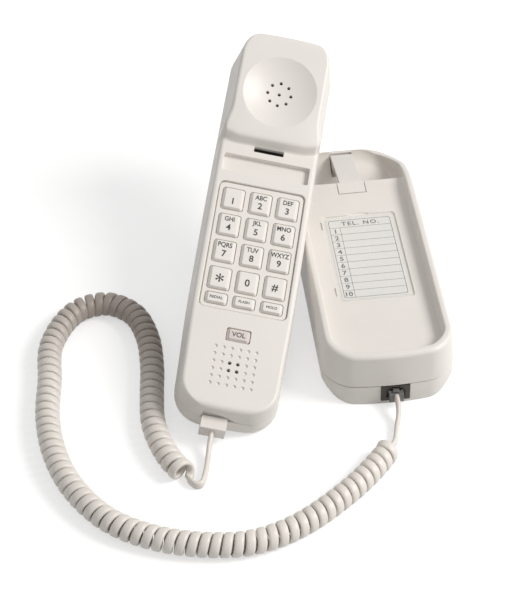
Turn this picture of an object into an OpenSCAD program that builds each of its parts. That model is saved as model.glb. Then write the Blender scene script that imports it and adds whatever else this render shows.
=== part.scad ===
// Corded landline telephone: a slim desk base, a handset with its keypad, and a curly cord.
// Millimetres. The origin is the middle of the base's floor plate, +Z is up and +Y runs
// from the cord's end of the base to the end that takes the earpiece.
// The handset lies as it does when lifted off: mic end on the desk, back against the base.

/* [Base] */
// Width of the base at its parting line
base_w = 69; // [64:0.5:84]
// Length of the base from front to back
base_l = 188; // [180:1:226]
// Height of the rim round the tray
rim_h = 34; // [30:0.5:41]
// Height of the joint between the lower and the upper housing
parting_h = 13; // [12.5:0.1:15.5]
// Height of the ridge behind the ear well
ridge_h = 18; // [17:0.5:21]
// How far the tray lies below its rim
tray_drop = 7; // [4:0.5:8]
// Width of the rim round the tray
rim_w = 3.6; // [3:0.1:4.4]
// Wall of the base's lower housing and floors
base_wall = 2.2; // [1.8:0.1:2.7]
// Length of the ear well, from the tray's back edge to the back of the base
well_l = 39.7; // [36:0.1:44]

/* [Index card] */
// Width of the telephone number card
card_w = 36; // [30:0.5:43]
// Length of the telephone number card
card_l = 65; // [54:0.5:78]
// Depth of the recess that holds the card and its window
card_recess = 1; // [0.9:0.1:1.4]

/* [Hook lever] */
// Width of the lever's tab in the tray
tab_w = 15; // [12.5:0.5:18]
// Length of the lever's tab in the tray
tab_l = 10; // [8:0.5:12]
// Width of the strap that crosses the ear well
strap_w = 12; // [10:0.5:14]
// Thickness of the lever
lever_t = 2.4; // [2:0.1:2.9]
// Radius of the lever's pivot pin
pivot_r = 1.2; // [1:0.05:1.5]

/* [Handset] */
// Width of the handset at its grip
grip_w = 56; // [55:0.5:64]
// Depth of the grip from its face to its back
grip_t = 26; // [24:0.5:31]
// Height of the step up to the ear block
ear_step = 6; // [5:0.5:7]
// Bend of the ear block towards the mouth
ear_bend = 14; // [10:0.5:16]
// Diameter of the ear dish
dish_d = 40; // [33:0.1:42]
// Depth of the ear dish
dish_deep = 4.2; // [3.4:0.1:5.1]
// Wall of the handset's shells
wall = 2.2; // [1.8:0.1:2.7]
// Distance along the handset at which its back meets the rim of the base
lean_s = 109; // [90:0.1:130]
// Turn of the handset from the line of the base, seen from above
handset_yaw = 15.7; // [13:0.1:18]
// Roll of the handset about its own length, its right side down
handset_roll = 11.6; // [9:0.1:14]

/* [Keypad] */
// Spacing of the keys across the handset
key_dx = 14.5; // [13.6:0.1:15]
// Spacing of the digit rows along the handset
key_dy = 16; // [15:0.1:16.6]
// Width of every key in the pad
key_w = 11.5; // [9.6:0.1:12.2]
// Length of a digit key
key_l = 13; // [10.8:0.1:13.6]
// Length of a function key
func_l = 6.6; // [5.5:0.1:7.2]
// How far a key travels
key_travel = 1.4; // [1:0.1:1.6]
// Width of the recessed key panel
panel_w = 46; // [45:0.5:47]
// Length of the recessed key panel
panel_l = 76.2; // [75.4:0.1:79]

/* [Cord] */
// Outer radius of the curly cord
coil_r = 6.35; // [5.3:0.05:6.4]
// Width of the flat wire
wire_w = 4.8; // [4:0.1:5.8]
// Width of a modular plug
plug_w = 7.65; // [7:0.05:8]

/* [Clearances] */
// Gap round a key and at the lever
gap = 0.3; // [0.25:0.05:0.4]
// Running clearance on the pivot pin's radius
pivot_gap = 0.05; // [0.03:0.01:0.08]
// Slip clearance round plugs, capsules and screws
slip = 0.1; // [0.05:0.05:0.2]

/* [Hidden] */
$fn = 48;
eps = 0.01;
front_y = -base_l / 2;
back_y = base_l / 2;
tray_z = rim_h - tray_drop;
tray_end = back_y - well_l;
card_y = -8.3;
card_edge = 1.9;
jack_x = 1.5;
jack_z = 8;
// the ear well's floor: distance behind the tray's edge, height
well_floor = [[0, 16], [4, 13], [11, 10.6], [20, 10], [28, 11.2], [33.5, 14]];
// lever
pivot_y = back_y - 8.5;
pivot_z = 6.6;
tab_front = tray_end - tab_l;
lever_end_z = ridge_h + 0.4;
switch_top = 15.5;
// line jack in the right-hand side, under the tray
line_y = 30;
line_w = 13;
line_h = parting_h - base_wall - 0.5;
line_x0 = 18.4;
line_z = base_wall + slip + line_h / 2;
// base circuit board and the heights it stands at
board_w = 32;
board_y0 = -46;
board_low = 5;
board_top = 6.6;
board_posts = [[-13, -40], [13, -40], [-13, 20], [13, 20]];
// handset stations along its length, and its back, width and ear block there
ear_y = 158;
stations = [0, 0.8, 2.4, 5, 9, 14, 30, 60, 95, 128, 156, 158, 170, 184, 196, 205, 210.5,
            214, 216];
back_line = [[-4, 20], [10, 22], [40, 24.6], [80, 26], [113, 26], [153.5, 22.5],
             [184, 16], [210, 9], [216, 6]];
width_line = [[0, -14.5], [0.8, -10.6], [2.4, -7.2], [5, -4.4], [9, -2.3], [14, -1.2], [30, -0.8],
              [60, 0], [130, 0], [165, -0.2], [196, -0.5], [205, -1.9], [210.5, -4.3], [214, -8],
              [216, -13.5]];
split_line = [[-10, -10], [154, -10], [216, 3]];
end_flare = 0.2;
side_in = 1.6;
ear_in = 3;
lean_x = 24.1;
// receiver: middle of the dish from the step, underside of the dish's floor, capsule's size
dish_y = 27;
dish_floor = -dish_deep - 2.4;
dish_ring = 6.3;
receiver_r = 16;
receiver_h = 6;
// where the lifted handset lies: it leans on the rim, and its mic end's back edge is on the desk
tilt = asin((rim_h + gap) / lean_s);
handset_x = -base_w / 2 - grip_w / 2 * cos(handset_roll) / cos(handset_yaw) - lean_x;
handset_y = -109;
handset_z = -min([for (s = stations) min([for (p = ring(s, 0)) turned(p).z])]);
// keypad
rows_y = 73.5;
func_y = 61.6;
panel_y = 93.6;
vol_y = 42.2;
vol_w = 12;
vol_l = 7;
mic_y = 23.8;
mic_step = 2.1;
// blank label recess and the slot at the step: near and far edge along the handset
label_y = [138.2, 148.5];
slot_y = [152.4, 155.5];
panel_top = -1;
panel_under = -3.6;
key_top = 0.4;
flange_top = panel_under - gap;
flange_low = flange_top - 1.3;
board_z = -9.6;
board_t = 1.6;
mat_t = 1;
h_jack_x = -4.5;
h_jack_z = -13;
plug_h = 6.6;
plug_l = 11.7;
plug_out = 3.2;
h_jack_y = 0.6;
tail_r = wire_w / 2 - 0.15;
board_posts_h = [[-18, 42], [18, 42], [-18, 130], [18, 130]];
handset_board_y = [36, 136];
screw_r = 1.5;
// handset screws: x, y, height at which the two bosses meet, height of the head's seat
handset_screws = [[0, 145, -12, -20.4], [-19, 13, -12, -18.6], [19, 13, -12, -18.6]];
base_screws = [[-25, -76], [25, -76], [-25, 44], [25, 44]];
foot_xy = [[-20, -74], [20, -74], [-18, 74], [18, 74]];
// the free cord's route: chosen points, the first and last of each tail follow the plugs
coil_z = 6.4;
coil_handset_pts = [[-108, -137], [-115.5, -127], [-121, -112], [-123.5, -96], [-122.5, -78],
                    [-120.5, -56], [-121, -34], [-127, -15], [-141, -5], [-158, -10],
                    [-171.5, -33], [-174, -60]];
coil_base_pts = [[-174, -60], [-176.5, -87], [-174, -114], [-166, -138], [-151, -160],
                 [-131, -174], [-108, -182], [-84, -184], [-59, -176], [-32, -157],
                 [-13, -138], [-6, -127]];
tail_handset_pts = [[-96.9, -117.2, 5.8], [-98.2, -122.4, 3.4], [-99.8, -129.4, 2.6],
                    [-101.6, -135.6, 2.6], [-103.6, -139.3, 2.6], [-106.2, -139.4, 2.6],
                    [-108, -137, 2.6]];
tail_base_pts = [[1.5, -100.8, 8], [1.4, -104, 6.7], [0.6, -108.4, 4.2], [-0.8, -113, 2.9],
                 [-3.4, -122.9, 2.6], [-6, -127, 2.6]];

KEYS = ["1", "2", "3", "4", "5", "6", "7", "8", "9", "star", "0", "hash"];
FUNCS = ["redial", "flash", "hold"];

// ---------- shared shapes ----------

function arc(cx, cy, r, a0, a1, n) =
    [for (i = [0:n - 1]) let (a = a0 + (a1 - a0) * i / (n - 1)) [cx + r * cos(a), cy + r * sin(a)]];

function round_rect(w, l, r) = concat(
    arc(w / 2 - r, l / 2 - r, r, 0, 90, 5), arc(-w / 2 + r, l / 2 - r, r, 90, 180, 5),
    arc(-w / 2 + r, -l / 2 + r, r, 180, 270, 5), arc(w / 2 - r, -l / 2 + r, r, 270, 360, 5));

// A closed loft through rings of equal length, each counter-clockwise seen from the last ring
module loft(rings) {
    n = len(rings[0]);
    m = len(rings);
    polyhedron(
        points = [for (ring = rings) each ring],
        faces = concat(
            [[for (i = [0:n - 1]) i]],
            [for (j = [0:m - 2], i = [0:n - 1]) each let (k = (i + 1) % n)
                [[j * n + i, (j + 1) * n + i, (j + 1) * n + k],
                 [j * n + i, (j + 1) * n + k, j * n + k]]],
            [[for (i = [n - 1:-1:0]) (m - 1) * n + i]]));
}

module slab(points, z0, z1) {
    translate([0, 0, z0]) linear_extrude(z1 - z0) polygon(points);
}

// A side view in (y, z) made solid across x
module side(points, w) {
    translate([-w / 2, 0, 0]) rotate([90, 0, 90]) linear_extrude(w) polygon(points);
}

module box(x0, x1, y0, y1, z0, z1) {
    translate([x0, y0, z0]) cube([x1 - x0, y1 - y0, z1 - z0]);
}

module post(x, y, r, z0, z1) {
    translate([x, y, z0]) cylinder(r = r, h = z1 - z0);
}

function unit(v) = v / norm(v);

// A point of the handset's own frame turned as the handset lies, and set on the desk
function turned(p) = let (
        x1 = p.x * cos(handset_roll) + p.z * sin(handset_roll),
        z1 = p.z * cos(handset_roll) - p.x * sin(handset_roll),
        y2 = p.y * cos(tilt) - z1 * sin(tilt), z2 = p.y * sin(tilt) + z1 * cos(tilt))
    [x1 * cos(handset_yaw) + y2 * sin(handset_yaw), y2 * cos(handset_yaw) - x1 * sin(handset_yaw), z2];
function on_desk(p) = [handset_x, handset_y, handset_z] + turned(p);

// A round tube through the points; its end rings stand square to the first and last runs
module sweep(pts, r, sides) {
    n = len(pts);
    dirs = [for (i = [0:n - 1])
        unit(i == 0 ? pts[1] - pts[0] : i == n - 1 ? pts[i] - pts[i - 1]
             : unit(pts[i] - pts[i - 1]) + unit(pts[i + 1] - pts[i]))];
    loft([for (i = [0:n - 1])
        let (d = dirs[i], s = unit(cross([0, 0, 1], d)), u = cross(d, s))
        [for (k = [0:sides - 1]) let (a = 180 / sides + 360 * k / sides)
            pts[i] + r * cos(a) * s + r * sin(a) * u]]);
}

// ---------- base ----------

// Plan outline of the base: half width, front, back, corner radii, and the bow of the front
function outline(hw, yf, yb, rf, rb, bow) = [for (p = concat(
    arc(hw - rb, yb - rb, rb, 0, 90, 7), arc(-hw + rb, yb - rb, rb, 90, 180, 7),
    arc(-hw + rf, yf + rf, rf, 180, 270, 7), [[-hw / 3, yf], [0, yf], [hw / 3, yf]],
    arc(hw - rf, yf + rf, rf, 270, 360, 7)))
    [p.x, p.y < 0 ? p.y + bow * pow(p.x / hw, 2) : p.y - (p.y > yb - rb ? bow / 2 * pow(p.x / hw, 2) : 0)]];

function at_z(points, z) = [for (p = points) [p.x, p.y, z]];

// Outline of the upper housing at a height, drawn in by an inset
function upper_outline(z, inset) = let (draft = 1.6 * (z - parting_h) / (rim_h - parting_h))
    outline(base_w / 2 - draft - inset, front_y + 0.2 * draft + inset, back_y - 0.4 * draft - inset,
            15 - inset / 2, 24 - inset / 2, 4);

module upper_solid(inset, z0, z1) {
    loft([for (z = [z0, z1]) at_z(upper_outline(z, inset), z)]);
}

// The rim seen from the side, falling from the tray to the ridge behind the well
function rim_line() = let (fall = rim_h - ridge_h) concat(
    [[front_y - 2, rim_h], [tray_end - 14, rim_h]],
    [for (t = [0.1:0.1:0.9]) [tray_end - 14 + (well_l + 10) * t,
                              rim_h - fall * (1 - cos(180 * t)) / 2]],
    [[back_y - 4, ridge_h], [back_y + 2, ridge_h]]);

// Top and underside of the tray and the well, as one sheet
function sheet_top() = concat(
    [[front_y + 1, tray_z], [tray_end, tray_z]],
    [for (p = well_floor) [tray_end + p.x, p.y]],
    [[back_y - rim_w - 1.4, ridge_h - 1.2], [back_y - 1, ridge_h - 1.2]]);
function sheet_under() = concat(
    [[back_y - 1, ridge_h - 1.2 - base_wall]],
    [for (i = [len(well_floor) - 1:-1:1]) [tray_end + well_floor[i].x, well_floor[i].y - base_wall]],
    [[tray_end - base_wall, well_floor[0].y - base_wall],
     [tray_end - base_wall, tray_z - base_wall - card_recess],
     [front_y + 1, tray_z - base_wall - card_recess]]);

module base_top_shell() {
    color([0.86, 0.84, 0.80])
    difference() {
        union() {
            intersection() {
                difference() {
                    upper_solid(0, parting_h, rim_h + 1);
                    upper_solid(rim_w, parting_h - 1, rim_h + 2);
                }
                side(concat([[back_y + 2, parting_h - 2], [front_y - 2, parting_h - 2]], rim_line()),
                     base_w + 4);
            }
            intersection() {
                slab(upper_outline(rim_h, rim_w - 0.6), 0, rim_h);
                side(concat(sheet_top(), sheet_under()), base_w);
            }
            for (s = base_screws)
                post(s.x, s.y, 3.4, parting_h - 4, tray_z - base_wall);
            // lugs for the lever's pivot pin
            for (x = [-1, 1])
                box(x * (strap_w / 2 + 2.5) - 1.6, x * (strap_w / 2 + 2.5) + 1.6,
                    pivot_y - 3, pivot_y + 3, pivot_z - 2.6, ridge_h - 6.5);
        }
        // recess for the card and its window
        translate([0, card_y, 0])
            slab(round_rect(card_w + 2 * card_edge, card_l + 2 * card_edge, 2),
                 tray_z - card_recess, tray_z + 1);
        // notch for the lever's tab, wider below so that the tab can swing
        side([[tab_front - gap, tray_z + 1], [tab_front - gap, tray_z],
              [tab_front - 2.6, tray_z - 3.4], [tab_front - 2.6, tray_z - 9],
              [tray_end + 1, tray_z - 9], [tray_end + 1, tray_z + 1]], tab_w + 2 * gap);
        // slot in the well's floor for the lever's leg
        box(-strap_w / 2 - gap, strap_w / 2 + gap, pivot_y - 6.5, back_y - rim_w + 0.6,
            pivot_z - 4, ridge_h + 2);
        translate([-base_w / 2, pivot_y, pivot_z]) rotate([0, 90, 0])
            cylinder(r = pivot_r, h = base_w);
        for (s = base_screws)
            post(s.x, s.y, screw_r - slip / 2, parting_h - 5, tray_z - 6);
        // opening over the front jack
        box(jack_x - 7.5 - slip, jack_x + 7.5 + slip, front_y - 2, front_y + 15, 0, parting_h + 0.2);
    }
}

function lower_outline(z, inset) = let (f = 1 - pow(min(z, 7) / 7, 0.6))
    outline(base_w / 2 - 4.5 * f - 0.2 - inset, front_y + 0.8 * f + 0.1 + inset,
            back_y - 1.2 * f - 0.1 - inset, 15 + 3 * f - inset / 2, 24 - inset / 2, 4);

module keyhole(y) {
    // the head goes in at the round end and the shank slides up the slot
    post(0, y, 4.5, -1, base_wall + 1);
    box(-2.1, 2.1, y, y + 9.5, -1, base_wall + 1);
}

module base_bottom_shell() {
    color([0.84, 0.82, 0.78])
    difference() {
        union() {
            difference() {
                loft([for (z = [0, 0.6, 2, 4, 7, parting_h]) at_z(lower_outline(z, 0), z)]);
                loft([for (z = [base_wall, 4, 7, parting_h + 1]) at_z(lower_outline(z, base_wall), z)]);
            }
            for (s = base_screws) post(s.x, s.y, 4.2, 1, parting_h - 4);
            for (p = board_posts) post(p.x, p.y, 2.4, 1, board_low);
            // walls behind the two jacks
            box(jack_x - 9.5, jack_x + 9.5, front_y + 14.2, front_y + 15.8, 1, parting_h - 0.5);
            box(line_x0 - 1.7, line_x0 - slip, line_y - 6, line_y + 6, 1, parting_h - 3);
        }
        for (s = base_screws) {
            post(s.x, s.y, screw_r + 2 * slip, 0, parting_h);
            post(s.x, s.y, 3.2, -1, 3.4);
        }
        for (f = foot_xy) post(f.x, f.y, 5 + slip / 2, -1, 1.2);
        for (y = [-42, 42.1]) keyhole(y);
        box(jack_x - 7.5 - slip, jack_x + 7.5 + slip, front_y - 2, front_y + 14.2,
            3.1 - slip, parting_h + 1);
        box(line_x0 - slip, base_w, line_y - line_w / 2 - slip, line_y + line_w / 2 + slip,
            base_wall, base_wall + line_h + 2 * slip);
    }
}

module base_board() {
    color([0.20, 0.42, 0.26])
    difference() {
        translate([0, (board_y0 + tab_front + 6) / 2, 0])
            slab(round_rect(board_w, tab_front + 6 - board_y0, 2), board_low, board_top);
        for (p = board_posts) post(p.x, p.y, 1.2, 4, 8);
    }
}

module ringer() {
    color([0.75, 0.62, 0.30])
    union() {
        post(-2, -22, 12, board_top, board_top + 4);
        post(-2, -22, 1.2, board_top + 4 - eps, board_top + 5);
    }
}

module hook_switch() {
    // body on the board, and the plunger under the lever's tab
    color([0.12, 0.12, 0.13])
    union() {
        box(-5, 5, tab_front - 3, tab_front + 6, board_top, switch_top);
        post(0, tab_front + 3, 1.4, switch_top - eps, switch_top + 3.6);
    }
}

// A block with a plug's socket in the face at y = 0; the block runs back along +y
module jack_block(w, h, l, socket_l) {
    difference() {
        box(-w / 2, w / 2, 0, l, -h / 2, h / 2);
        box(-plug_w / 2 - slip, plug_w / 2 + slip, -1, socket_l, -plug_h / 2 - slip, plug_h / 2 + slip);
    }
}

module base_handset_jack() {
    color([0.16, 0.13, 0.12])
    translate([jack_x, front_y - 0.4, jack_z]) jack_block(15, 9.8, 14.5, 10);
}

module line_jack() {
    // socket for a six-way line plug, with its latch channel
    depth = base_w / 2 - 0.6 - line_x0;
    color([0.16, 0.13, 0.12])
    translate([line_x0 + depth, line_y, line_z]) rotate(90)
    difference() {
        box(-line_w / 2, line_w / 2, 0, depth, -line_h / 2, line_h / 2);
        box(-4.95, 4.95, -1, 12.5, -3.4, 3.4);
        box(-2, 2, -1, 12.5, 3.3, 4.4);
    }
}

module index_card() {
    color([0.95, 0.95, 0.93])
    translate([0, card_y, 0])
        slab(round_rect(card_w, card_l, 1), tray_z - card_recess, tray_z - card_recess + 0.3);
}

module index_cover() {
    color([0.8, 0.86, 0.88, 0.4])
    translate([0, card_y, 0])
        slab(round_rect(card_w + 2 * (card_edge - slip), card_l + 2 * (card_edge - slip), 1.9),
             tray_z - card_recess + 0.3, tray_z - card_recess + 0.8);
}

module base_weight() {
    color([0.55, 0.56, 0.58])
    box(-18, 18, -74, -50, base_wall, base_wall + 3);
}

module base_foot(i) {
    color([0.25, 0.25, 0.26]) post(foot_xy[i].x, foot_xy[i].y, 5, 0, 1.2);
}

module screw(head_z, tip_z) {
    color([0.62, 0.62, 0.60])
    difference() {
        union() {
            translate([0, 0, head_z - 1.8]) cylinder(r = 2.8, h = 1.8);
            translate([0, 0, head_z - eps]) cylinder(r = screw_r - slip / 2 - eps, h = tip_z - head_z);
        }
        for (a = [0, 90]) rotate(a) box(-1.6, 1.6, -0.35, 0.35, head_z - 2, head_z - 0.9);
    }
}

module base_screw(i) {
    translate([base_screws[i].x, base_screws[i].y, 0]) screw(3.4, parting_h + 4);
}

// ---------- hook lever ----------

function strap_top(y) = tray_z + (lever_end_z - tray_z) * (y - tray_end) / (back_y - rim_w - 2 - tray_end);

module hook_lever() {
    end_y = back_y - rim_w - gap - 0.4;
    color([0.86, 0.83, 0.79])
    difference() {
        union() {
            side([[tab_front, tray_z], [tab_front + 1.3, tray_z - lever_t],
                  [tray_end - gap, tray_z - lever_t], [tray_end - gap, tray_z]], tab_w);
            side([[tray_end - 2, tray_z], [tray_end - 2, tray_z - lever_t],
                  [tray_end, tray_z - lever_t], [end_y - 2, strap_top(end_y) - lever_t],
                  [end_y, strap_top(end_y) - lever_t], [end_y, strap_top(end_y) - 0.6],
                  [end_y - 1, strap_top(end_y)], [tray_end, tray_z]], strap_w);
            // leg down to the pivot
            side([[pivot_y - 2.4, pivot_z], [pivot_y - 2.4, strap_top(pivot_y) - 1],
                  [pivot_y + 2.4, strap_top(pivot_y) - 1], [pivot_y + 2.4, pivot_z]], strap_w - 1);
            translate([-(strap_w - 1) / 2, pivot_y, pivot_z]) rotate([0, 90, 0])
                cylinder(r = 2.5, h = strap_w - 1);
        }
        translate([-strap_w, pivot_y, pivot_z]) rotate([0, 90, 0])
            cylinder(r = pivot_r + pivot_gap, h = 2 * strap_w);
    }
}

module hook_pin() {
    color([0.7, 0.7, 0.7])
    translate([-strap_w / 2 - 4.1, pivot_y, pivot_z]) rotate([0, 90, 0])
        cylinder(r = pivot_r, h = strap_w + 8.2);
}

module hook_spring() {
    // turns of fine wire round the plunger, up to the tab, drawn as a sleeve
    color([0.6, 0.6, 0.62])
    difference() {
        post(0, tab_front + 3, 2.4, switch_top, tray_z - lever_t);
        post(0, tab_front + 3, 1.9, switch_top - 1, tray_z);
    }
}

// ---------- handset ----------

module handset_frame() {
    translate([handset_x, handset_y, handset_z])
        rotate([0, 0, -handset_yaw]) rotate([tilt, 0, 0]) rotate([0, handset_roll, 0]) children();
}

// The ear block's own frame: its face is z = 0 and the step's top edge is y = 0
module ear_frame() {
    translate([0, ear_y, ear_step]) rotate([ear_bend, 0, 0]) children();
}

function face_z(y) = y < ear_y - 1 ? 0 : ear_step + (y - ear_y) * tan(ear_bend);
function back_z(y) = -lookup(y, back_line) * grip_t / 26;
function half_w(y) = grip_w / 2 + lookup(y, width_line);
function flare(y) = max(0, 1 - y / 30) * end_flare;
function drawn_in(y, i) = y < 15 ? y + i * (15 - y) / 15 : y > 201 ? y - i * (y - 201) / 15
    : y > ear_y - 4 && y < ear_y + 2 ? y + i : y;

function ring(y, i) = let (
        hw = half_w(y) - i, zf = face_z(y) - i, zb = back_z(y) + i,
        hf = hw - (y < ear_y - 1 ? side_in : ear_in), rf = max(3 - i, 0.8), rb = max(6 - i, 3.8), yy = drawn_in(y, i),
        k = flare(y))
    [for (p = concat(arc(hf - rf, zf - rf, rf, 0, 90, 4), arc(-hf + rf, zf - rf, rf, 90, 180, 4),
                     arc(-hw + rb, zb + rb, rb, 180, 270, 4), arc(hw - rb, zb + rb, rb, 270, 360, 4)))
        [p.x, yy + k * p.y, p.y]];

module handset_solid(i) {
    mirror([0, 1, 0]) loft([for (s = stations) [for (p = ring(s, i)) [p.x, -p.y, p.z]]]);
}

module above_split() {
    side(concat(split_line, [[230, 3], [230, 40], [-20, 40], [-20, -10]]), grip_w + 20);
}

module below_split() {
    side(concat([for (i = [2:-1:0]) split_line[i]], [[-20, -10], [-20, -40], [230, -40], [230, 3]]),
         grip_w + 20);
}

module handset_front_shell() {
    color([0.90, 0.89, 0.86])
    handset_frame()
    difference() {
        union() {
            intersection() {
                difference() { handset_solid(0); handset_solid(wall); }
                above_split();
            }
            // pan of the blank label recess, and its screw boss
            box(-panel_w / 2 - 1.4, panel_w / 2 + 1.4, label_y[0] - 1.6, label_y[1] + 1.6, -4.9,
                -wall + 0.5);
            post(handset_screws[0].x, handset_screws[0].y, 3.6, -12, -4);
            for (x = [-19, 19]) post(x, 13, 3.4, -12, -wall + 0.5);
            // thick floor of the ear dish, and the ring that locates the receiver
            ear_frame() {
                post(0, dish_y, dish_d / 2 + 1.6, dish_floor, -1);
                difference() {
                    post(0, dish_y, receiver_r + 1.6, dish_floor - 4, dish_floor + 0.1);
                    post(0, dish_y, receiver_r + slip, dish_floor - 5, dish_floor + 0.2);
                }
            }
        }
        translate([0, panel_y, 0]) slab(round_rect(panel_w, panel_l, 3), -5, 5);
        box(-panel_w / 2, panel_w / 2, label_y[0], label_y[1], -3.2, 5);
        box(-8, 8, slot_y[0], slot_y[1], -8, 2);
        box(-vol_w / 2 - gap, vol_w / 2 + gap, vol_y - vol_l / 2 - gap, vol_y + vol_l / 2 + gap, -6, 3);
        ear_frame() {
            dish_r = (pow(dish_d / 2, 2) + pow(dish_deep, 2)) / (2 * dish_deep);
            translate([0, dish_y, dish_r - dish_deep]) sphere(r = dish_r, $fn = 96);
            post(0, dish_y, 0.9, dish_floor - 2, 0);
            for (k = [0:7])
                post(dish_ring * cos(45 * k), dish_y + dish_ring * sin(45 * k), 0.9, dish_floor - 2, 0);
        }
        for (x = [-mic_step, mic_step], y = [-mic_step, mic_step]) post(x, mic_y + y, 1, -5, 2);
        for (s = handset_screws) post(s.x, s.y, screw_r, -13, -5.5);
        handset_jack_hole();
    }
}

module handset_jack_hole() {
    box(h_jack_x - 6.5 - slip, h_jack_x + 6.5 + slip, -8, 3,
        h_jack_z - 4.7 - slip, h_jack_z + 4.7 + slip);
}

module handset_back_shell() {
    color([0.88, 0.87, 0.84])
    handset_frame()
    difference() {
        union() {
            intersection() {
                difference() { handset_solid(0); handset_solid(wall); }
                below_split();
            }
            for (s = handset_screws) post(s.x, s.y, 4, s[3] - 2, -12);
            // posts that carry the board, and the shelf under the jack
            for (p = board_posts_h)
                post(p.x, p.y, 2.4, back_z(p.y) + wall - 0.4, board_z);
            box(h_jack_x - 5, h_jack_x + 5, 5, 11, back_z(8) + wall - 0.4, h_jack_z - 4.7);
        }
        for (s = handset_screws) {
            post(s.x, s.y, screw_r + slip, -26, -10);
            post(s.x, s.y, 3, -27, s[3]);
        }
        handset_jack_hole();
    }
}

module keypad_frame() {
    color([0.91, 0.90, 0.87])
    handset_frame()
    difference() {
        union() {
            translate([0, panel_y, 0])
                slab(round_rect(panel_w - 2 * slip, panel_l - 2 * slip, 3), panel_under, panel_top);
            translate([0, panel_y, 0])
                slab(round_rect(min(panel_w + 0.8, grip_w - 11.2), panel_l + 3.6, 3), panel_under, -wall);
        }
        for (c = [-1:1], r = [0:3])
            translate([c * key_dx, rows_y + r * key_dy, 0])
                slab(round_rect(key_w + 2 * gap, key_l + 2 * gap, 1.6), -6, 2);
        for (c = [-1:1])
            translate([c * key_dx, func_y, 0])
                slab(round_rect(key_w + 2 * gap, func_l + 2 * gap, 1.6), -6, 2);
    }
}

module keypad_mat() {
    z0 = board_z + board_t;
    color([0.55, 0.56, 0.57])
    handset_frame()
    union() {
        translate([0, panel_y, 0]) slab(round_rect(42, panel_l - 0.4, 2), z0, z0 + mat_t);
        for (c = [-1:1], r = [0:3])
            post(c * key_dx, rows_y + r * key_dy, 2.5, z0 + mat_t - eps, flange_low - key_travel - 0.2);
        for (c = [-1:1]) post(c * key_dx, func_y, 1.8, z0 + mat_t - eps, flange_low - key_travel - 0.2);
    }
}

module handset_board() {
    color([0.20, 0.42, 0.26])
    handset_frame()
    difference() {
        translate([0, (handset_board_y[0] + handset_board_y[1]) / 2, 0])
            slab(round_rect(46, handset_board_y[1] - handset_board_y[0], 2), board_z, board_z + board_t);
        for (p = board_posts_h) post(p.x, p.y, 1.2, -12, -5);
    }
}

module receiver_capsule() {
    color([0.35, 0.36, 0.38])
    handset_frame() ear_frame()
    union() {
        post(0, dish_y, receiver_r, dish_floor - 1 - receiver_h, dish_floor - 1);
        post(0, dish_y, 9, dish_floor - receiver_h - 4, dish_floor - 1 - receiver_h);
    }
}

module receiver_gasket() {
    color([0.15, 0.15, 0.15])
    handset_frame() ear_frame()
    difference() {
        post(0, dish_y, receiver_r, dish_floor - 1, dish_floor);
        post(0, dish_y, receiver_r - 4, dish_floor - 2, dish_floor + 1);
    }
}

module microphone_capsule() {
    color([0.68, 0.68, 0.66])
    handset_frame() post(0, mic_y, 4.85, -7.2, -2.9);
}

module microphone_boot() {
    color([0.15, 0.15, 0.15])
    handset_frame()
    difference() {
        post(0, mic_y, 6.6, -8.4, -wall);
        post(0, mic_y, 4.85, -7.2, 0);
    }
}

module handset_jack() {
    color([0.16, 0.13, 0.12])
    handset_frame() translate([h_jack_x, h_jack_y, h_jack_z]) jack_block(13, 9.4, 13, 10);
}

module handset_screw(i) {
    s = handset_screws[i];
    handset_frame() translate([s.x, s.y, 0]) screw(s[3], -6.5);
}

// ---------- keys ----------

// A key's cap in its window, and the wider flange that keeps it under the panel
module key_cap(x, y, w, l, top, under) {
    handset_frame() translate([x, y, 0]) union() {
        slab(round_rect(w, l, 1.4), under - gap - 1.3, top);
        slab(round_rect(w + 1.6, l + 0.3, 1.4), under - gap - 1.3, under - gap);
    }
}

module digit_key(i) {
    color([0.93, 0.92, 0.89])
    key_cap((i % 3 - 1) * key_dx, rows_y + (3 - floor(i / 3)) * key_dy, key_w, key_l,
            key_top, panel_under);
}

module func_key(i) {
    color([0.93, 0.92, 0.89])
    key_cap((i - 1) * key_dx, func_y, key_w, func_l, key_top, panel_under);
}

module key_volume() {
    color([0.86, 0.82, 0.79]) key_cap(0, vol_y, vol_w, vol_l, 0.8, -wall);
}

// ---------- cord ----------

// A four-way plug: body, latch, and the neck that holds the flat wire; it enters along +y
module plug() {
    color([0.82, 0.85, 0.86])
    difference() {
        union() {
            box(-plug_w / 2, plug_w / 2, 0, plug_l, -plug_h / 2, plug_h / 2 - 1.2);
            box(-1.6, 1.6, 1, plug_l - 1, plug_h / 2 - 1.2, plug_h / 2 - 0.2);
        }
        box(-wire_w / 2 + 0.6, wire_w / 2 - 0.6, plug_l - 4, plug_l + 1, -1.4, 0.2);
    }
}

module cord_plug_handset() {
    handset_frame() translate([h_jack_x, h_jack_y - plug_out, h_jack_z]) plug();
}

module cord_plug_base() {
    translate([jack_x, front_y - 0.4 - plug_out, jack_z]) plug();
}

module cord_tail_handset() {
    exit = [h_jack_x, h_jack_y - plug_out, h_jack_z];
    color([0.88, 0.86, 0.82])
    sweep(concat([on_desk(exit), on_desk(exit - [0, 5, 0])], tail_handset_pts), tail_r, 8);
}

module cord_tail_base() {
    exit = [jack_x, front_y - 0.4 - plug_out, jack_z];
    color([0.88, 0.86, 0.82])
    sweep(concat([exit], tail_base_pts), tail_r, 8);
}

module cord_coil_handset() {
    color([0.88, 0.86, 0.82])
    sweep([for (p = coil_handset_pts) [p.x, p.y, coil_z]], coil_r, 12);
}

module cord_coil_base() {
    color([0.88, 0.86, 0.82])
    sweep([for (p = coil_base_pts) [p.x, p.y, coil_z]], coil_r, 12);
}

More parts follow.
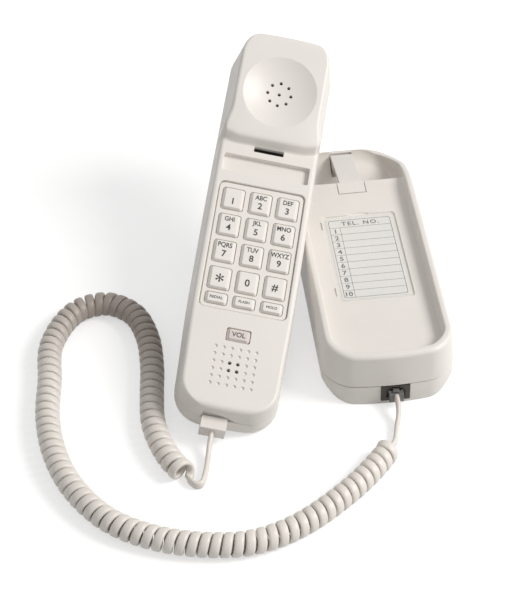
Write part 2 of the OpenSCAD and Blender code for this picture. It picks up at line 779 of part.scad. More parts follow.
base_top_shell();
base_bottom_shell();
base_board();
ringer();
hook_switch();
base_handset_jack();
line_jack();
index_card();
index_cover();
base_weight();
for (i = [0:3]) base_foot(i);
for (i = [0:3]) base_screw(i);
hook_lever();
hook_pin();
hook_spring();
handset_front_shell();
handset_back_shell();
keypad_frame();
keypad_mat();
handset_board();
receiver_capsule();
receiver_gasket();
microphone_capsule();
microphone_boot();
handset_jack();
for (i = [0:2]) handset_screw(i);
for (i = [0:11]) digit_key(i);
for (i = [0:2]) func_key(i);
key_volume();
cord_plug_handset();
cord_plug_base();
cord_tail_handset();
cord_tail_base();
cord_coil_handset();
cord_coil_base();
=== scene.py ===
"""Corded landline telephone: a desk base, a keypad handset lifted off it, and a curly cord."""

from math import asin, cos, pi, radians, sin, sqrt

import bmesh
import bpy
from mathutils import Matrix, Vector


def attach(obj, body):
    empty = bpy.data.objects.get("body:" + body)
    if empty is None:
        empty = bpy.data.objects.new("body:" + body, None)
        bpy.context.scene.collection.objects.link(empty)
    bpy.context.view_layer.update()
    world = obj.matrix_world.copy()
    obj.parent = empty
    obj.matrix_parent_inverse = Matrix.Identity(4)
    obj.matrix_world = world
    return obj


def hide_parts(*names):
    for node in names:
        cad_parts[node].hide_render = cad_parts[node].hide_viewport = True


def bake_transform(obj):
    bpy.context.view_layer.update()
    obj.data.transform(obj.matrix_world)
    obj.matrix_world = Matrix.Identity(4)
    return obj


bl_info = {
    "name": "Corded telephone",
    "version": (1, 0, 0),
    "blender": (4, 5, 0),
    "location": "View3D > Sidebar > Telephone",
    "description": "Builds a corded desk telephone with its handset, keypad and curly cord",
    "category": "Add Mesh",
}

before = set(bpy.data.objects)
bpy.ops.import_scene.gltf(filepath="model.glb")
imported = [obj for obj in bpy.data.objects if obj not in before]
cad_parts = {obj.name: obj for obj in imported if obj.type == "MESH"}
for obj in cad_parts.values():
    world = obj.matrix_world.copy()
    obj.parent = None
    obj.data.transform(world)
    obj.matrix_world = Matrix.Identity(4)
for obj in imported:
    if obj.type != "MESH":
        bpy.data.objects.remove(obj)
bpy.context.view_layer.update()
MM = 0.001


# ---------- sizes and colours that a user may change ----------


def length(name, description, default):
    """A size in metres"""
    return bpy.props.FloatProperty(
        name=name, description=description, default=default, min=0.0001, unit="LENGTH"
    )


def colour(name, description, default):
    """A plain colour"""
    return bpy.props.FloatVectorProperty(
        name=name, description=description, default=default, size=3, min=0, max=1, subtype="COLOR"
    )


class PhoneBaseSizes(bpy.types.PropertyGroup):
    """Sizes of the base"""

    rim_width: length("Rim width", "Width of the rim beside the tray", 0.0036)
    rim_front: length("Front rim width", "Width of the rim in front of the tray", 0.0048)
    rim_round: length("Rim rounding", "Radius along the top of the rim", 0.0015)
    seam: length("Seam", "Gap between the two housings", 0.00028)


class PhoneHandsetSizes(bpy.types.PropertyGroup):
    """Sizes of the handset"""

    face_round: length("Face rounding", "Radius along the edge of the grip's face", 0.0022)
    ear_round: length("Ear rounding", "Radius along the edge of the ear block's face", 0.0020)
    back_round: length("Back rounding", "Radius along the edge of the back", 0.0065)
    dish_depth: length("Dish depth", "Depth of the ear dish", 0.0042)
    dimple: length("Dimple", "Radius of a dimple in the mouth grid", 0.0010)


class PhoneKeySizes(bpy.types.PropertyGroup):
    """Sizes of the keys and their legends"""

    taper: length("Taper", "How far each side of a key leans in towards its top", 0.0011)
    rounding: length("Rounding", "Radius along the top edge of a key", 0.00045)
    digit: length("Digit height", "Size of the digits' type", 0.0052)
    letters: length("Letter height", "Size of the letters' type", 0.0038)
    words: length("Word height", "Size of the type on the function keys", 0.0021)


class PhoneCordSizes(bpy.types.PropertyGroup):
    """Sizes of the curly cord"""

    coil_radius: length("Coil radius", "Outer radius of the coil", 0.00635)
    wire_width: length("Wire width", "Width of the flat wire", 0.0048)
    wire_height: length("Wire thickness", "Thickness of the flat wire", 0.0025)
    pitch: length("Pitch", "Distance from one turn to the next", 0.0054)


class PhoneColours(bpy.types.PropertyGroup):
    """Colours of the telephone"""

    shell: colour("Shell", "Housings and handset", (0.80, 0.765, 0.72))
    keys: colour("Keys", "Digit and function keys", (0.82, 0.785, 0.74))
    volume: colour("Volume key", "Volume key", (0.70, 0.63, 0.60))
    cord: colour("Cord", "Jacket of the cord", (0.80, 0.755, 0.70))
    print: colour("Print", "Printing on keys and card", (0.035, 0.033, 0.035))
    jack: colour("Jack", "Plastic of the jacks", (0.045, 0.036, 0.030))


# ---------- finishes ----------


class Value:
    """A socket of a finish; arithmetic on it adds Math nodes"""

    def __init__(self, finish, socket):
        self.finish = finish
        self.socket = socket

    def maths(self, operation, first, second):
        """The result of one Math node"""
        return self.finish.add("ShaderNodeMath", {"operation": operation}, {0: first, 1: second})

    def __add__(self, other):
        return self.maths("ADD", self, other)

    def __radd__(self, other):
        return self.maths("ADD", other, self)

    def __sub__(self, other):
        return self.maths("SUBTRACT", self, other)

    def __rsub__(self, other):
        return self.maths("SUBTRACT", other, self)

    def __mul__(self, other):
        return self.maths("MULTIPLY", self, other)

    def __rmul__(self, other):
        return self.maths("MULTIPLY", other, self)

    def __pow__(self, other):
        return self.maths("POWER", self, other)


class Finish:
    """A material and the nodes that it is made of"""

    def __init__(self, name, **settings):
        self.material = bpy.data.materials.new(name)
        self.material.use_nodes = True
        self.tree = self.material.node_tree
        self.shader = self.tree.nodes["Principled BSDF"]
        self.set({key.replace("_", " "): value for key, value in settings.items()})

    def set(self, inputs):
        """Gives the shader's sockets values or links"""
        for name, value in inputs.items():
            socket = self.shader.inputs[name]
            if isinstance(value, Value):
                self.tree.links.new(value.socket, socket)
            else:
                socket.default_value = value

    def add(self, kind, settings=(), inputs=(), output=0):
        """Adds a node: its settings first, then the values or links of its sockets"""
        node = self.tree.nodes.new(kind)
        for name, value in dict(settings).items():
            if name == "stops":
                for index, (position, shade) in enumerate(value):
                    stop = node.color_ramp.elements[index]
                    stop.position = position
                    stop.color = (shade, shade, shade, 1)
            else:
                setattr(node, name, value)
        for name, value in dict(inputs).items():
            if isinstance(value, Value):
                self.tree.links.new(value.socket, node.inputs[name])
            else:
                node.inputs[name].default_value = value
        return Value(self, node.outputs[output])

    def place(self, kind="Object"):
        """Where a point of the piece is"""
        return self.add("ShaderNodeTexCoord", output=kind)

    def noise(self, where, scale, detail=2.0, roughness=0.5):
        """Cloudy noise from 0 to 1"""
        inputs = {"Vector": where, "Scale": scale, "Detail": detail, "Roughness": roughness}
        return self.add("ShaderNodeTexNoise", (), inputs)

    def ramp(self, value, low, high):
        """The value stretched so that low gives 0 and high gives 1"""
        return self.add("ShaderNodeValToRGB", {"stops": ((low, 0), (high, 1))}, {0: value})

    def mix(self, factor, first, second):
        """One colour turning into another"""
        inputs = {0: factor, 6: (*first, 1) if isinstance(first, tuple) else first, 7: (*second, 1)}
        return self.add("ShaderNodeMix", {"data_type": "RGBA"}, inputs, 2)

    def bump(self, height, strength, distance, normal=None):
        """A raised pattern on the surface"""
        inputs = {"Strength": strength, "Distance": distance, "Height": height}
        if normal is not None:
            inputs["Normal"] = normal
        return self.add("ShaderNodeBump", (), inputs)


def shaded(colour, factor):
    """A colour made darker or lighter"""
    return tuple(min(1, channel * factor) for channel in colour)


def moulded_plastic(name, colour, rough=0.36, grain=0.10, coat=0.06):
    """Moulded plastic: a faint cloud of colour, a fine spark texture, duller in places"""
    finish = Finish(name, Coat_Weight=coat, Coat_Roughness=0.25)
    where = finish.place()
    cloud = finish.noise(where, 28, 3)
    spark = finish.noise(where, 2300, 1)
    handled = finish.ramp(finish.noise(where, 75, 4, 0.6), 0.38, 0.72)
    tint = finish.mix(cloud, shaded(colour, 0.965), shaded(colour, 1.03))
    finish.set(
        {
            "Base Color": finish.mix(handled * 0.35, tint, shaded(colour, 0.955)),
            "Roughness": rough + handled * 0.10 + spark * 0.05,
            "Normal": finish.bump(spark, grain, 0.00006),
        }
    )
    return finish.material


def cord_jacket(name, colour):
    """Soft cord jacket: satin, with a faint uneven tone, and painted shade that makes it darker and browner
    round the far loop, beside the handset
    """
    finish = Finish(name, Coat_Weight=0.12, Coat_Roughness=0.3)
    where = finish.place()
    cloud = finish.noise(where, 45, 3)
    fine = finish.noise(where, 1500, 2)
    far, back = (finish.add("ShaderNodeSeparateXYZ", (), {0: where}, axis) for axis in (0, 1))
    # painted shade mask: rises towards the back of the coil and towards the handset's side, where the
    # handset shades the cord
    loop = (back + 0.10) * 9.0 + (far.maths("MINIMUM", far, -0.118) + 0.15) * 9.0
    tint = finish.mix(cloud, shaded(colour, 0.94), shaded(colour, 1.05))
    # painted shade: the jacket colour darkened and browned, standing in for the handset's shadow on the cord
    loop_painted_shade = tuple(channel * share for channel, share in zip(colour, (0.44, 0.40, 0.38)))
    finish.set(
        {
            "Base Color": finish.mix(finish.ramp(loop, 0.12, 0.85), tint, loop_painted_shade),
            "Roughness": 0.38 + fine * 0.12,
            "Normal": finish.bump(fine, 0.10, 0.00008),
        }
    )
    return finish.material


def printed_ink(name, colour):
    """Ink with slightly uneven cover"""
    finish = Finish(name)
    cover = finish.noise(finish.place(), 900, 2)
    finish.set(
        {
            "Base Color": finish.mix(cover, shaded(colour, 0.7), shaded(colour, 1.6)),
            "Roughness": 0.45 + cover * 0.15,
        }
    )
    return finish.material


def card_paper(name):
    """Smooth white card with a faint fibre"""
    finish = Finish(name)
    where = finish.place()
    fibre = finish.noise(where, 1800, 4)
    finish.set(
        {
            "Base Color": finish.mix(fibre, (0.76, 0.745, 0.71), (0.81, 0.80, 0.77)),
            "Roughness": 0.62 + fibre * 0.15,
            "Normal": finish.bump(fibre, 0.12, 0.00003),
        }
    )
    return finish.material


def clear_plastic(name, colour, opacity, rough):
    """Clear plastic: mostly see-through, with fine scuffs"""
    finish = Finish(name, Alpha=opacity, IOR=1.5)
    scuff = finish.ramp(finish.noise(finish.place(), 240, 5, 0.7), 0.55, 0.8)
    finish.set({"Base Color": (*colour, 1), "Roughness": rough + scuff * 0.2})
    return finish.material


def metal(name, colour, rough, brushed=0):
    """Metal with fine brush marks or a plain satin"""
    finish = Finish(name, Metallic=1.0)
    where = finish.place()
    stretched = finish.add("ShaderNodeMapping", (), {"Vector": where, "Scale": (1, 1 + brushed, 1)})
    marks = finish.noise(stretched, 900, 3)
    finish.set(
        {
            "Base Color": finish.mix(marks, shaded(colour, 0.85), shaded(colour, 1.08)),
            "Roughness": rough + marks * 0.18,
            "Normal": finish.bump(marks, 0.08, 0.00004),
        }
    )
    return finish.material


def rubber(name, colour):
    """Dull moulded rubber"""
    finish = Finish(name)
    where = finish.place()
    dust = finish.noise(where, 160, 4)
    grain = finish.noise(where, 1700, 2)
    finish.set(
        {
            "Base Color": finish.mix(dust, shaded(colour, 0.8), shaded(colour, 1.5)),
            "Roughness": 0.72 + dust * 0.15,
            "Normal": finish.bump(grain, 0.2, 0.0001),
        }
    )
    return finish.material


def circuit_board(name):
    """Green lacquered board with faint tracks under the lacquer"""
    finish = Finish(name, Coat_Weight=0.3)
    edges = {"feature": "DISTANCE_TO_EDGE"}
    cells = finish.add("ShaderNodeTexVoronoi", edges, {"Vector": finish.place(), "Scale": 260})
    tracks = finish.ramp(cells, 0.04, 0.10)
    finish.set(
        {
            "Base Color": finish.mix(tracks, (0.10, 0.30, 0.13), (0.035, 0.17, 0.07)),
            "Roughness": 0.35 + tracks * 0.1,
        }
    )
    return finish.material


FINISHES = {}


def finish_of(key):
    """The material of that name, made the first time that it is asked for"""
    colours = bpy.context.scene.phone_colours
    makers = {
        "shell": lambda: moulded_plastic("shell_plastic", tuple(colours.shell)),
        "keys": lambda: moulded_plastic("key_plastic", tuple(colours.keys), 0.42, 0.08, 0.0),
        "volume": lambda: moulded_plastic("volume_key_plastic", tuple(colours.volume), 0.42, 0.08, 0.0),
        "cord": lambda: cord_jacket("cord_jacket", tuple(colours.cord)),
        "print": lambda: printed_ink("print_ink", tuple(colours.print)),
        "jack": lambda: moulded_plastic("jack_plastic", tuple(colours.jack), 0.45, 0.15, 0.0),
        "black": lambda: moulded_plastic("black_plastic", (0.02, 0.02, 0.022), 0.5, 0.15, 0.0),
        "card": lambda: card_paper("index_card_paper"),
        "window": lambda: clear_plastic("card_window", (0.95, 0.96, 0.96), 0.12, 0.12),
        "plug": lambda: clear_plastic("clear_plug", (0.20, 0.195, 0.19), 0.78, 0.14),
        "gold": lambda: metal("contact_gold", (0.83, 0.62, 0.28), 0.25),
        "steel": lambda: metal("plated_steel", (0.58, 0.57, 0.55), 0.30, 6),
        "brass": lambda: metal("ringer_brass", (0.72, 0.56, 0.26), 0.32),
        "rubber": lambda: rubber("pad_rubber", (0.09, 0.088, 0.085)),
        "board": lambda: circuit_board("board_lacquer"),
    }
    if key not in FINISHES:
        FINISHES[key] = makers[key]()
    return FINISHES[key]


# ---------- making and joining solids ----------


def put(verts, points):
    """Moves each vertex onto its point, given in millimetres"""
    for vert, point in zip(verts, points):
        vert.co = Vector(point) * MM


def skin(bm, rings, hollow=False):
    """A closed skin: a circle of edges, extruded from each ring of points to the next"""
    ring = bmesh.ops.create_circle(bm, segments=len(rings[0]), radius=1.0)["verts"]
    put(ring, rings[0])

    def edges_of(loop):
        return [bm.edges.get((loop[i - 1], loop[i])) for i in range(len(loop))]

    ends = [edges_of(ring)]
    for points in rings[1:]:
        made = bmesh.ops.extrude_edge_only(bm, edges=edges_of(ring))["geom"]
        fresh = {part for part in made if isinstance(part, bmesh.types.BMVert)}
        ring = [
            next(e.other_vert(vert) for e in vert.link_edges if e.other_vert(vert) in fresh)
            for vert in ring
        ]
        put(ring, points)
    ends.append(edges_of(ring))
    if hollow:
        bmesh.ops.remove_doubles(bm, verts=bm.verts, dist=1e-6)
    else:
        for edges in ends:
            bmesh.ops.edgeloop_fill(bm, edges=edges)
    bmesh.ops.recalc_face_normals(bm, faces=bm.faces)
    return bm


def arc(cx, cy, radius, start, end, count):
    """Points along an arc, its angles in degrees"""
    angles = [radians(start + (end - start) * i / (count - 1)) for i in range(count)]
    return [(cx + radius * cos(a), cy + radius * sin(a)) for a in angles]


def rounded(width, depth, radius, count=7, x=0.0, y=0.0):
    """Outline of a rounded rectangle"""
    w, d = width / 2 - radius, depth / 2 - radius
    corners = ((w, d, 0), (-w, d, 90), (-w, -d, 180), (w, -d, 270))
    points = []
    for cx, cy, start in corners:
        points += arc(x + cx, y + cy, radius, start, start + 90, count)
    return points


def disc(radius, count=24, x=0.0, y=0.0):
    """Outline of a circle"""
    angles = [2 * pi * i / count for i in range(count)]
    return [(x + radius * cos(a), y + radius * sin(a)) for a in angles]


def at(points, z):
    """An outline lifted to a height"""
    return [(x, y, z) for x, y in points]


def prism(bm, points, low, high):
    """A solid along X with the given side view"""
    return skin(bm, [[(x, y, z) for y, z in points] for x in (low, high)])


def block(bm, x0, x1, y0, y1, z0, z1, edge=0.0, segments=2):
    """A box with its edges rounded"""
    own = bmesh.new()
    bmesh.ops.create_cube(own, size=1.0)
    size = Vector((x1 - x0, y1 - y0, z1 - z0)) * MM
    middle = Vector((x0 + x1, y0 + y1, z0 + z1)) * (MM / 2)
    bmesh.ops.scale(own, vec=size, verts=own.verts)
    bmesh.ops.translate(own, vec=middle, verts=own.verts)
    if edge:
        bmesh.ops.bevel(
            own, geom=own.edges[:] + own.verts[:], offset=edge * MM, offset_type="OFFSET",
            segments=segments, profile=0.5, affect="EDGES", material=-1,
        )
    return absorb(bm, own)


def softened(bm, edge, corner=35):
    """Rounds the edges of a bmesh that turn more than a corner's angle"""
    edges = [e for e in bm.edges if e.calc_face_angle(0) > radians(corner)]
    bmesh.ops.bevel(
        bm, geom=edges, offset=edge * MM, offset_type="OFFSET", segments=2, profile=0.5,
        affect="EDGES", material=-1, clamp_overlap=True,
    )
    return bm


def absorb(bm, own):
    """Adds one bmesh to another"""
    mesh = bpy.data.meshes.new("part")
    own.to_mesh(mesh)
    own.free()
    bm.from_mesh(mesh)
    bpy.data.meshes.remove(mesh)
    return bm


def post(bm, x, y, radius, z0, z1, count=24, edge=0.0):
    """A round post, its ends' edges rounded"""
    rings = [(radius - edge, z0), (radius, z0 + edge), (radius, z1 - edge), (radius - edge, z1)]
    if not edge:
        rings = [(radius, z0), (radius, z1)]
    own = bmesh.new()
    skin(own, [at(disc(r, count, x, y), z) for r, z in rings])
    return absorb(bm, own)


def turned(bm, profile, count=48, x=0.0, y=0.0):
    """A solid spun round a vertical line: its profile is (radius, height) from bottom to top"""
    own = bmesh.new()
    verts = [own.verts.new((r * MM, 0, z * MM)) for r, z in profile]
    edges = [own.edges.new(pair) for pair in zip(verts, verts[1:])]
    bmesh.ops.spin(
        own, geom=verts + edges, cent=(0, 0, 0), axis=(0, 0, 1), angle=2 * pi,
        steps=count, use_merge=True,
    )
    bmesh.ops.remove_doubles(own, verts=own.verts, dist=1e-7)
    holes = [e for e in own.edges if e.is_boundary]
    if holes:
        bmesh.ops.holes_fill(own, edges=holes, sides=0)
    bmesh.ops.recalc_face_normals(own, faces=own.faces)
    bmesh.ops.translate(own, vec=(x * MM, y * MM, 0), verts=own.verts)
    return absorb(bm, own)


def sunk(bm, outline, depth, lip, foot=0.4, top=0.0, above=4.0):
    """A tool that sinks a pocket: outline(outset) gives its shape, with a rounded lip and foot"""
    own = bmesh.new()
    rings = []
    for k in range(4):
        a = radians(30 * k)
        rings.append(at(outline(-foot * (1 - sin(a))), top - depth + foot * (1 - cos(a))))
    for k in range(5):
        a = radians(22.5 * k)
        rings.append(at(outline(lip * (1 - cos(a))), top - lip + lip * sin(a)))
    rings.append(at(outline(lip), top + above))
    skin(own, rings)
    return absorb(bm, own)


def loose(name, bm):
    """A bmesh made an object of the scene"""
    mesh = bpy.data.meshes.new(name)
    bm.to_mesh(mesh)
    bm.free()
    piece = bpy.data.objects.new(name, mesh)
    bpy.context.scene.collection.objects.link(piece)
    return piece


def settle(piece):
    """Applies a piece's modifiers to its mesh"""
    graph = bpy.context.evaluated_depsgraph_get()
    made = bpy.data.meshes.new_from_object(piece.evaluated_get(graph))
    old = piece.data
    piece.modifiers.clear()
    piece.data = made
    bpy.data.meshes.remove(old)


def carve(piece, tool, operation="DIFFERENCE"):
    """Cuts a tool away from a piece, or joins it on or keeps what is in both"""
    cutter = loose("tool", tool)
    modifier = piece.modifiers.new("carve", "BOOLEAN")
    modifier.operation = operation
    modifier.solver = "EXACT"
    modifier.object = cutter
    settle(piece)
    mesh = cutter.data
    bpy.data.objects.remove(cutter)
    bpy.data.meshes.remove(mesh)
    return piece


def complete(piece, body, finish, nodes=(), place=None, sharp=32, weighted=True):
    """Places a piece, smooths its shading, gives it its finish and makes it ride on its body"""
    mesh = piece.data
    bm = bmesh.new()
    bm.from_mesh(mesh)
    bmesh.ops.remove_doubles(bm, verts=bm.verts, dist=2e-7)
    bmesh.ops.dissolve_degenerate(bm, dist=1e-7, edges=bm.edges)
    bm.to_mesh(mesh)
    bm.free()
    if place is not None:
        mesh.transform(place)
    mesh.materials.clear()
    mesh.materials.append(finish_of(finish))
    mesh.polygons.foreach_set("use_smooth", [True] * len(mesh.polygons))
    mesh.set_sharp_from_angle(angle=radians(sharp))
    if weighted:
        modifier = piece.modifiers.new("even_shading", "WEIGHTED_NORMAL")
        modifier.keep_sharp = True
        modifier.weight = 100
    if body:
        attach(piece, body)
    if nodes:
        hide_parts(*nodes)
    return piece


def between(points, t):
    """Smooth curve through (t, value) pairs"""
    if t <= points[0][0]:
        return points[0][1]
    for i in range(len(points) - 1):
        t0, v0 = points[i]
        t1, v1 = points[i + 1]
        if t <= t1:
            slope = (v1 - v0) / (t1 - t0)
            m0 = slope if i == 0 else (v1 - points[i - 1][1]) / (t1 - points[i - 1][0])
            m1 = slope if i == len(points) - 2 else (points[i + 2][1] - v0) / (points[i + 2][0] - t0)
            u, h = (t - t0) / (t1 - t0), t1 - t0
            return (
                (1 + 2 * u) * (1 - u) ** 2 * v0 + u * (1 - u) ** 2 * h * m0
                + u * u * (3 - 2 * u) * v1 + u * u * (u - 1) * h * m1
            )
    return points[-1][1]


def ease(t):
    """0 to 1 with soft ends"""
    t = min(1.0, max(0.0, t))
    return t * t * (3 - 2 * t)


# ---------- camera and stage ----------

VIEW_TURN = 6.0
VIEW_HEIGHT = 42.5
VIEW_ROLL = 1.2
VIEW_PLACE = (-157.2, -917.3, 839.9)
VIEW_LENS = 138.0


class PHONE_OT_camera(bpy.types.Operator):
    """Camera in front of the telephone, looking down on it"""

    bl_idname = "phone.camera"
    bl_label = "Camera"

    def execute(self, context):
        data = bpy.data.cameras.new("camera")
        data.sensor_width = 36.0
        data.lens = VIEW_LENS
        data.clip_start = 0.05
        camera = bpy.data.objects.new("camera", data)
        camera.matrix_world = (
            Matrix.Translation(Vector(VIEW_PLACE) * MM)
            @ Matrix.Rotation(radians(-VIEW_TURN), 4, "Z")
            @ Matrix.Rotation(radians(90 - VIEW_HEIGHT), 4, "X")
            @ Matrix.Rotation(radians(-VIEW_ROLL), 4, "Z")
        )
        context.scene.collection.objects.link(camera)
        context.scene.camera = camera
        return {"FINISHED"}


def seen_directly(finish):
    """1 for what the camera sees itself, or in a mirror or through glass"""
    total = None
    for ray in ("Is Camera Ray", "Is Glossy Ray", "Is Transmission Ray"):
        value = finish.add("ShaderNodeLightPath", output=ray)
        total = value if total is None else total + value
    return total


class PHONE_OT_stage(bpy.types.Operator):
    """Pale floor, soft light and a white background"""

    bl_idname = "phone.stage"
    bl_label = "Stage"

    def execute(self, context):
        scene = context.scene
        scene.view_settings.view_transform = "Standard"
        bm = bmesh.new()
        bmesh.ops.create_grid(bm, x_segments=1, y_segments=1, size=6.0)
        floor = loose("floor", bm)
        paper = Finish("floor_paper", Roughness=0.9)
        paper.set({"Specular IOR Level": 0.1})
        grain = paper.noise(paper.place(), 300, 2)
        paper.set({"Base Color": paper.mix(grain, (0.62, 0.62, 0.62), (0.64, 0.64, 0.64))})
        glow = paper.add("ShaderNodeEmission", (), {"Color": (1, 1, 1, 1), "Strength": 0.56})
        body = Value(paper, paper.shader.outputs[0])
        both = paper.add("ShaderNodeAddShader", (), {0: body, 1: glow})
        shown = paper.add("ShaderNodeMixShader", (), {0: seen_directly(paper), 1: body, 2: both})
        paper.tree.links.new(shown.socket, paper.tree.nodes["Material Output"].inputs[0])
        floor.data.materials.append(paper.material)

        world = scene.world or bpy.data.worlds.new("world")
        scene.world = world
        world.use_nodes = True
        tree = world.node_tree
        paths = tree.nodes.new("ShaderNodeLightPath")
        sky = tree.nodes["Background"]
        sky.inputs["Color"].default_value = (1.0, 1.0, 1.0, 1)
        sky.inputs["Strength"].default_value = SKY_LIGHT
        white = tree.nodes.new("ShaderNodeBackground")
        white.inputs["Color"].default_value = (1, 1, 1, 1)
        shown = None
        for ray in ("Is Camera Ray", "Is Glossy Ray", "Is Transmission Ray"):
            socket = paths.outputs[ray]
            if shown is not None:
                either = tree.nodes.new("ShaderNodeMath")
                either.operation = "MAXIMUM"
                tree.links.new(shown, either.inputs[0])
                tree.links.new(socket, either.inputs[1])
                socket = either.outputs[0]
            shown = socket
        mixed = tree.nodes.new("ShaderNodeMixShader")
        tree.links.new(shown, mixed.inputs[0])
        tree.links.new(sky.outputs[0], mixed.inputs[1])
        tree.links.new(white.outputs[0], mixed.inputs[2])
        tree.links.new(mixed.outputs[0], tree.nodes["World Output"].inputs[0])

        for name, (place, size, power, tint) in LAMPS.items():
            data = bpy.data.lights.new(name, "AREA")
            data.shape = "DISK"
            data.size = size
            data.energy = power
            data.color = tint
            lamp = bpy.data.objects.new(name, data)
            lamp.location = place
            lamp.rotation_euler = (LAMP_TARGET - lamp.location).to_track_quat("-Z", "Y").to_euler()
            scene.collection.objects.link(lamp)
        return {"FINISHED"}


SKY_LIGHT = 0.45
LAMP_TARGET = Vector((-0.06, -0.04, 0.02))
LAMPS = {
    "key_lamp": ((1.05, -0.35, 1.10), 0.70, 17.5, (1.0, 0.98, 0.96)),
}


# ---------- the cord ----------

COIL_HEIGHT = 6.4
PLUG_EXIT_BASE = (1.5, -97.6, 8.0)
TAIL_BASE = [
    (1.5, -100.8, 8.0), (1.4, -104, 6.7), (0.6, -108.4, 4.2), (-0.8, -113, 2.9),
    (-3.4, -122.9, 2.6), (-6, -127, 2.6),
]
TAIL_HANDSET = [
    (-96.9, -117.2, 5.8), (-98.2, -122.4, 3.4), (-99.8, -129.4, 2.6), (-101.6, -135.6, 2.6),
    (-103.6, -139.3, 2.6), (-106.2, -139.4, 2.6), (-108, -137, 2.6),
]
COIL_HANDSET = [
    (-108, -137), (-115.5, -127), (-121, -112), (-123.5, -96), (-122.5, -78), (-120.5, -56),
    (-121, -34), (-127, -15), (-141, -5), (-158, -10), (-171.5, -33), (-174, -60),
]
COIL_BASE = [
    (-174, -60), (-176.5, -87), (-174, -114), (-166, -138), (-151, -160), (-131, -174),
    (-108, -182), (-84, -184), (-59, -176), (-32, -157), (-13, -138), (-6, -127),
]
TURN_STEPS = 20
EASE_IN = 9.0


def curve_through(points, step):
    """Points at even steps along the smooth curve through some points"""
    points = [Vector(p) for p in points]
    travel = [0.0]
    for a, b in zip(points, points[1:]):
        travel.append(travel[-1] + (b - a).length)
    count = max(2, round(travel[-1] / step))
    tables = [list(zip(travel, (p[axis] for p in points))) for axis in range(3)]
    return [
        Vector(between(table, travel[-1] * i / count) for table in tables) for i in range(count + 1)
    ]


def tangents(points):
    """Direction of a path at each of its points"""
    last = len(points) - 1
    return [(points[min(i + 1, last)] - points[max(i - 1, 0)]).normalized() for i in range(last + 1)]


def path_length(points):
    return sum((b - a).length for a, b in zip(points, points[1:]))


def winding(sizes):
    """The coil's centre line from the handset's tail to the base's tail: points and coil axis"""
    pitch = sizes.pitch / MM
    radius = (sizes.coil_radius - sizes.wire_height / 2) / MM
    start_radius = COIL_HEIGHT - TAIL_BASE[-1][2]
    flat = [(x, y, COIL_HEIGHT) for x, y in COIL_HANDSET + COIL_BASE[1:]]
    axis = curve_through(flat, pitch / TURN_STEPS)
    total = path_length(axis)
    travel, turns = [0.0], [0.0]
    for a, b in zip(axis, axis[1:]):
        step = (b - a).length
        travel.append(travel[-1] + step)
        middle = travel[-1] - step / 2
        turns.append(turns[-1] + step / pitch * ease(middle / EASE_IN) * ease((total - middle) / EASE_IN))
    whole = round(turns[-1]) / turns[-1]
    split = Vector((*COIL_HANDSET[-1], COIL_HEIGHT))
    points = []
    for centre, along, s, turn in zip(axis, tangents(axis), travel, turns):
        swell = ease(s / EASE_IN) * ease((total - s) / EASE_IN)
        r = start_radius + (radius - start_radius) * swell
        angle = 2 * pi * turn * whole - pi / 2
        side = along.cross(Vector((0, 0, 1))).normalized()
        points.append(centre + r * (cos(angle) * side + sin(angle) * Vector((0, 0, 1))))
    middle = min(range(len(axis)), key=lambda i: (axis[i] - split).length)
    return points, tangents(axis), middle


def wire_section(sizes):
    """Section of the flat wire: a bar with round edges"""
    half, r = sizes.wire_width / MM / 2, sizes.wire_height / MM / 2
    return arc(half - r, 0, r, -90, 90, 5) + arc(-half + r, 0, r, 90, 270, 5)


def wire_tube(name, points, axes, sizes):
    """The flat wire along a path, its wide side along the coil's axis"""
    section = wire_section(sizes)
    rings = []
    for point, along, axis in zip(points, tangents(points), axes):
        wound = along.cross(axis).length ** 2
        wide = Vector((0, 0, 1)) * (1 - wound) + axis * wound
        wide = (wide - wide.dot(along) * along).normalized()
        thick = along.cross(wide)
        rings.append([point + u * wide + v * thick for u, v in section])
    return loose(name, skin(bmesh.new(), rings))


class PHONE_OT_cord(bpy.types.Operator):
    """Curly cord in two stretches, from the handset's plug and from the base's plug"""

    bl_idname = "phone.cord"
    bl_label = "Curly cord"

    def execute(self, context):
        sizes = context.scene.phone_cord
        coil, axes, middle = winding(sizes)
        exit_handset = Vector(HANDSET_PLACE @ (Vector(PLUG_EXIT_HANDSET) * MM)) / MM
        second = Vector(HANDSET_PLACE @ ((Vector(PLUG_EXIT_HANDSET) - Vector((0, 5, 0))) * MM)) / MM
        tail = curve_through([exit_handset, second, *TAIL_HANDSET], 0.8)
        base_tail = curve_through([PLUG_EXIT_BASE, *TAIL_BASE], 0.8)
        stretches = (
            ("cord_to_handset", tail, coil[: middle + 1], axes[: middle + 1],
             ("cord_tail_handset", "cord_coil_handset"), "plug_handset"),
            ("cord_to_base", base_tail, coil[: middle - 1 : -1], axes[: middle - 1 : -1],
             ("cord_tail_base", "cord_coil_base"), "plug_base"),
        )
        for name, lead, wound, coil_axes, nodes, plug in stretches:
            path = lead[:-1] + wound
            lines = tangents(lead)[:-1] + coil_axes
            piece = wire_tube(name, path, lines, sizes)
            body = None if plug == "plug_handset" else "base"
            complete(piece, body, "cord", nodes, sharp=60, weighted=False)
            metres = [tuple(point * MM) for point in path]
            path_length(path) * MM
            if body is None:
                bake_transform(piece)
        return {"FINISHED"}


PLUG_EXIT_HANDSET = (-4.5, -2.6, -13.0)
LEAN_HEIGHT, LEAN_REACH = 34.0 + 0.3, 109
HANDSET_TILT = asin(LEAN_HEIGHT / LEAN_REACH)
HANDSET_TURN = radians(-15.7)
HANDSET_ROLL = radians(11.6)
HANDSET_ORIGIN = (-87.0911, -109.0, 22.7268)
HANDSET_PLACE = (
    Matrix.Translation(Vector(HANDSET_ORIGIN) * MM)
    @ Matrix.Rotation(HANDSET_TURN, 4, "Z")
    @ Matrix.Rotation(HANDSET_TILT, 4, "X")
    @ Matrix.Rotation(HANDSET_ROLL, 4, "Y")
)
EAR_BEND = radians(14)
EAR_PLACE = HANDSET_PLACE @ Matrix.Translation(Vector((0, 158, 6)) * MM) @ Matrix.Rotation(EAR_BEND, 4, "X")


# ---------- base ----------

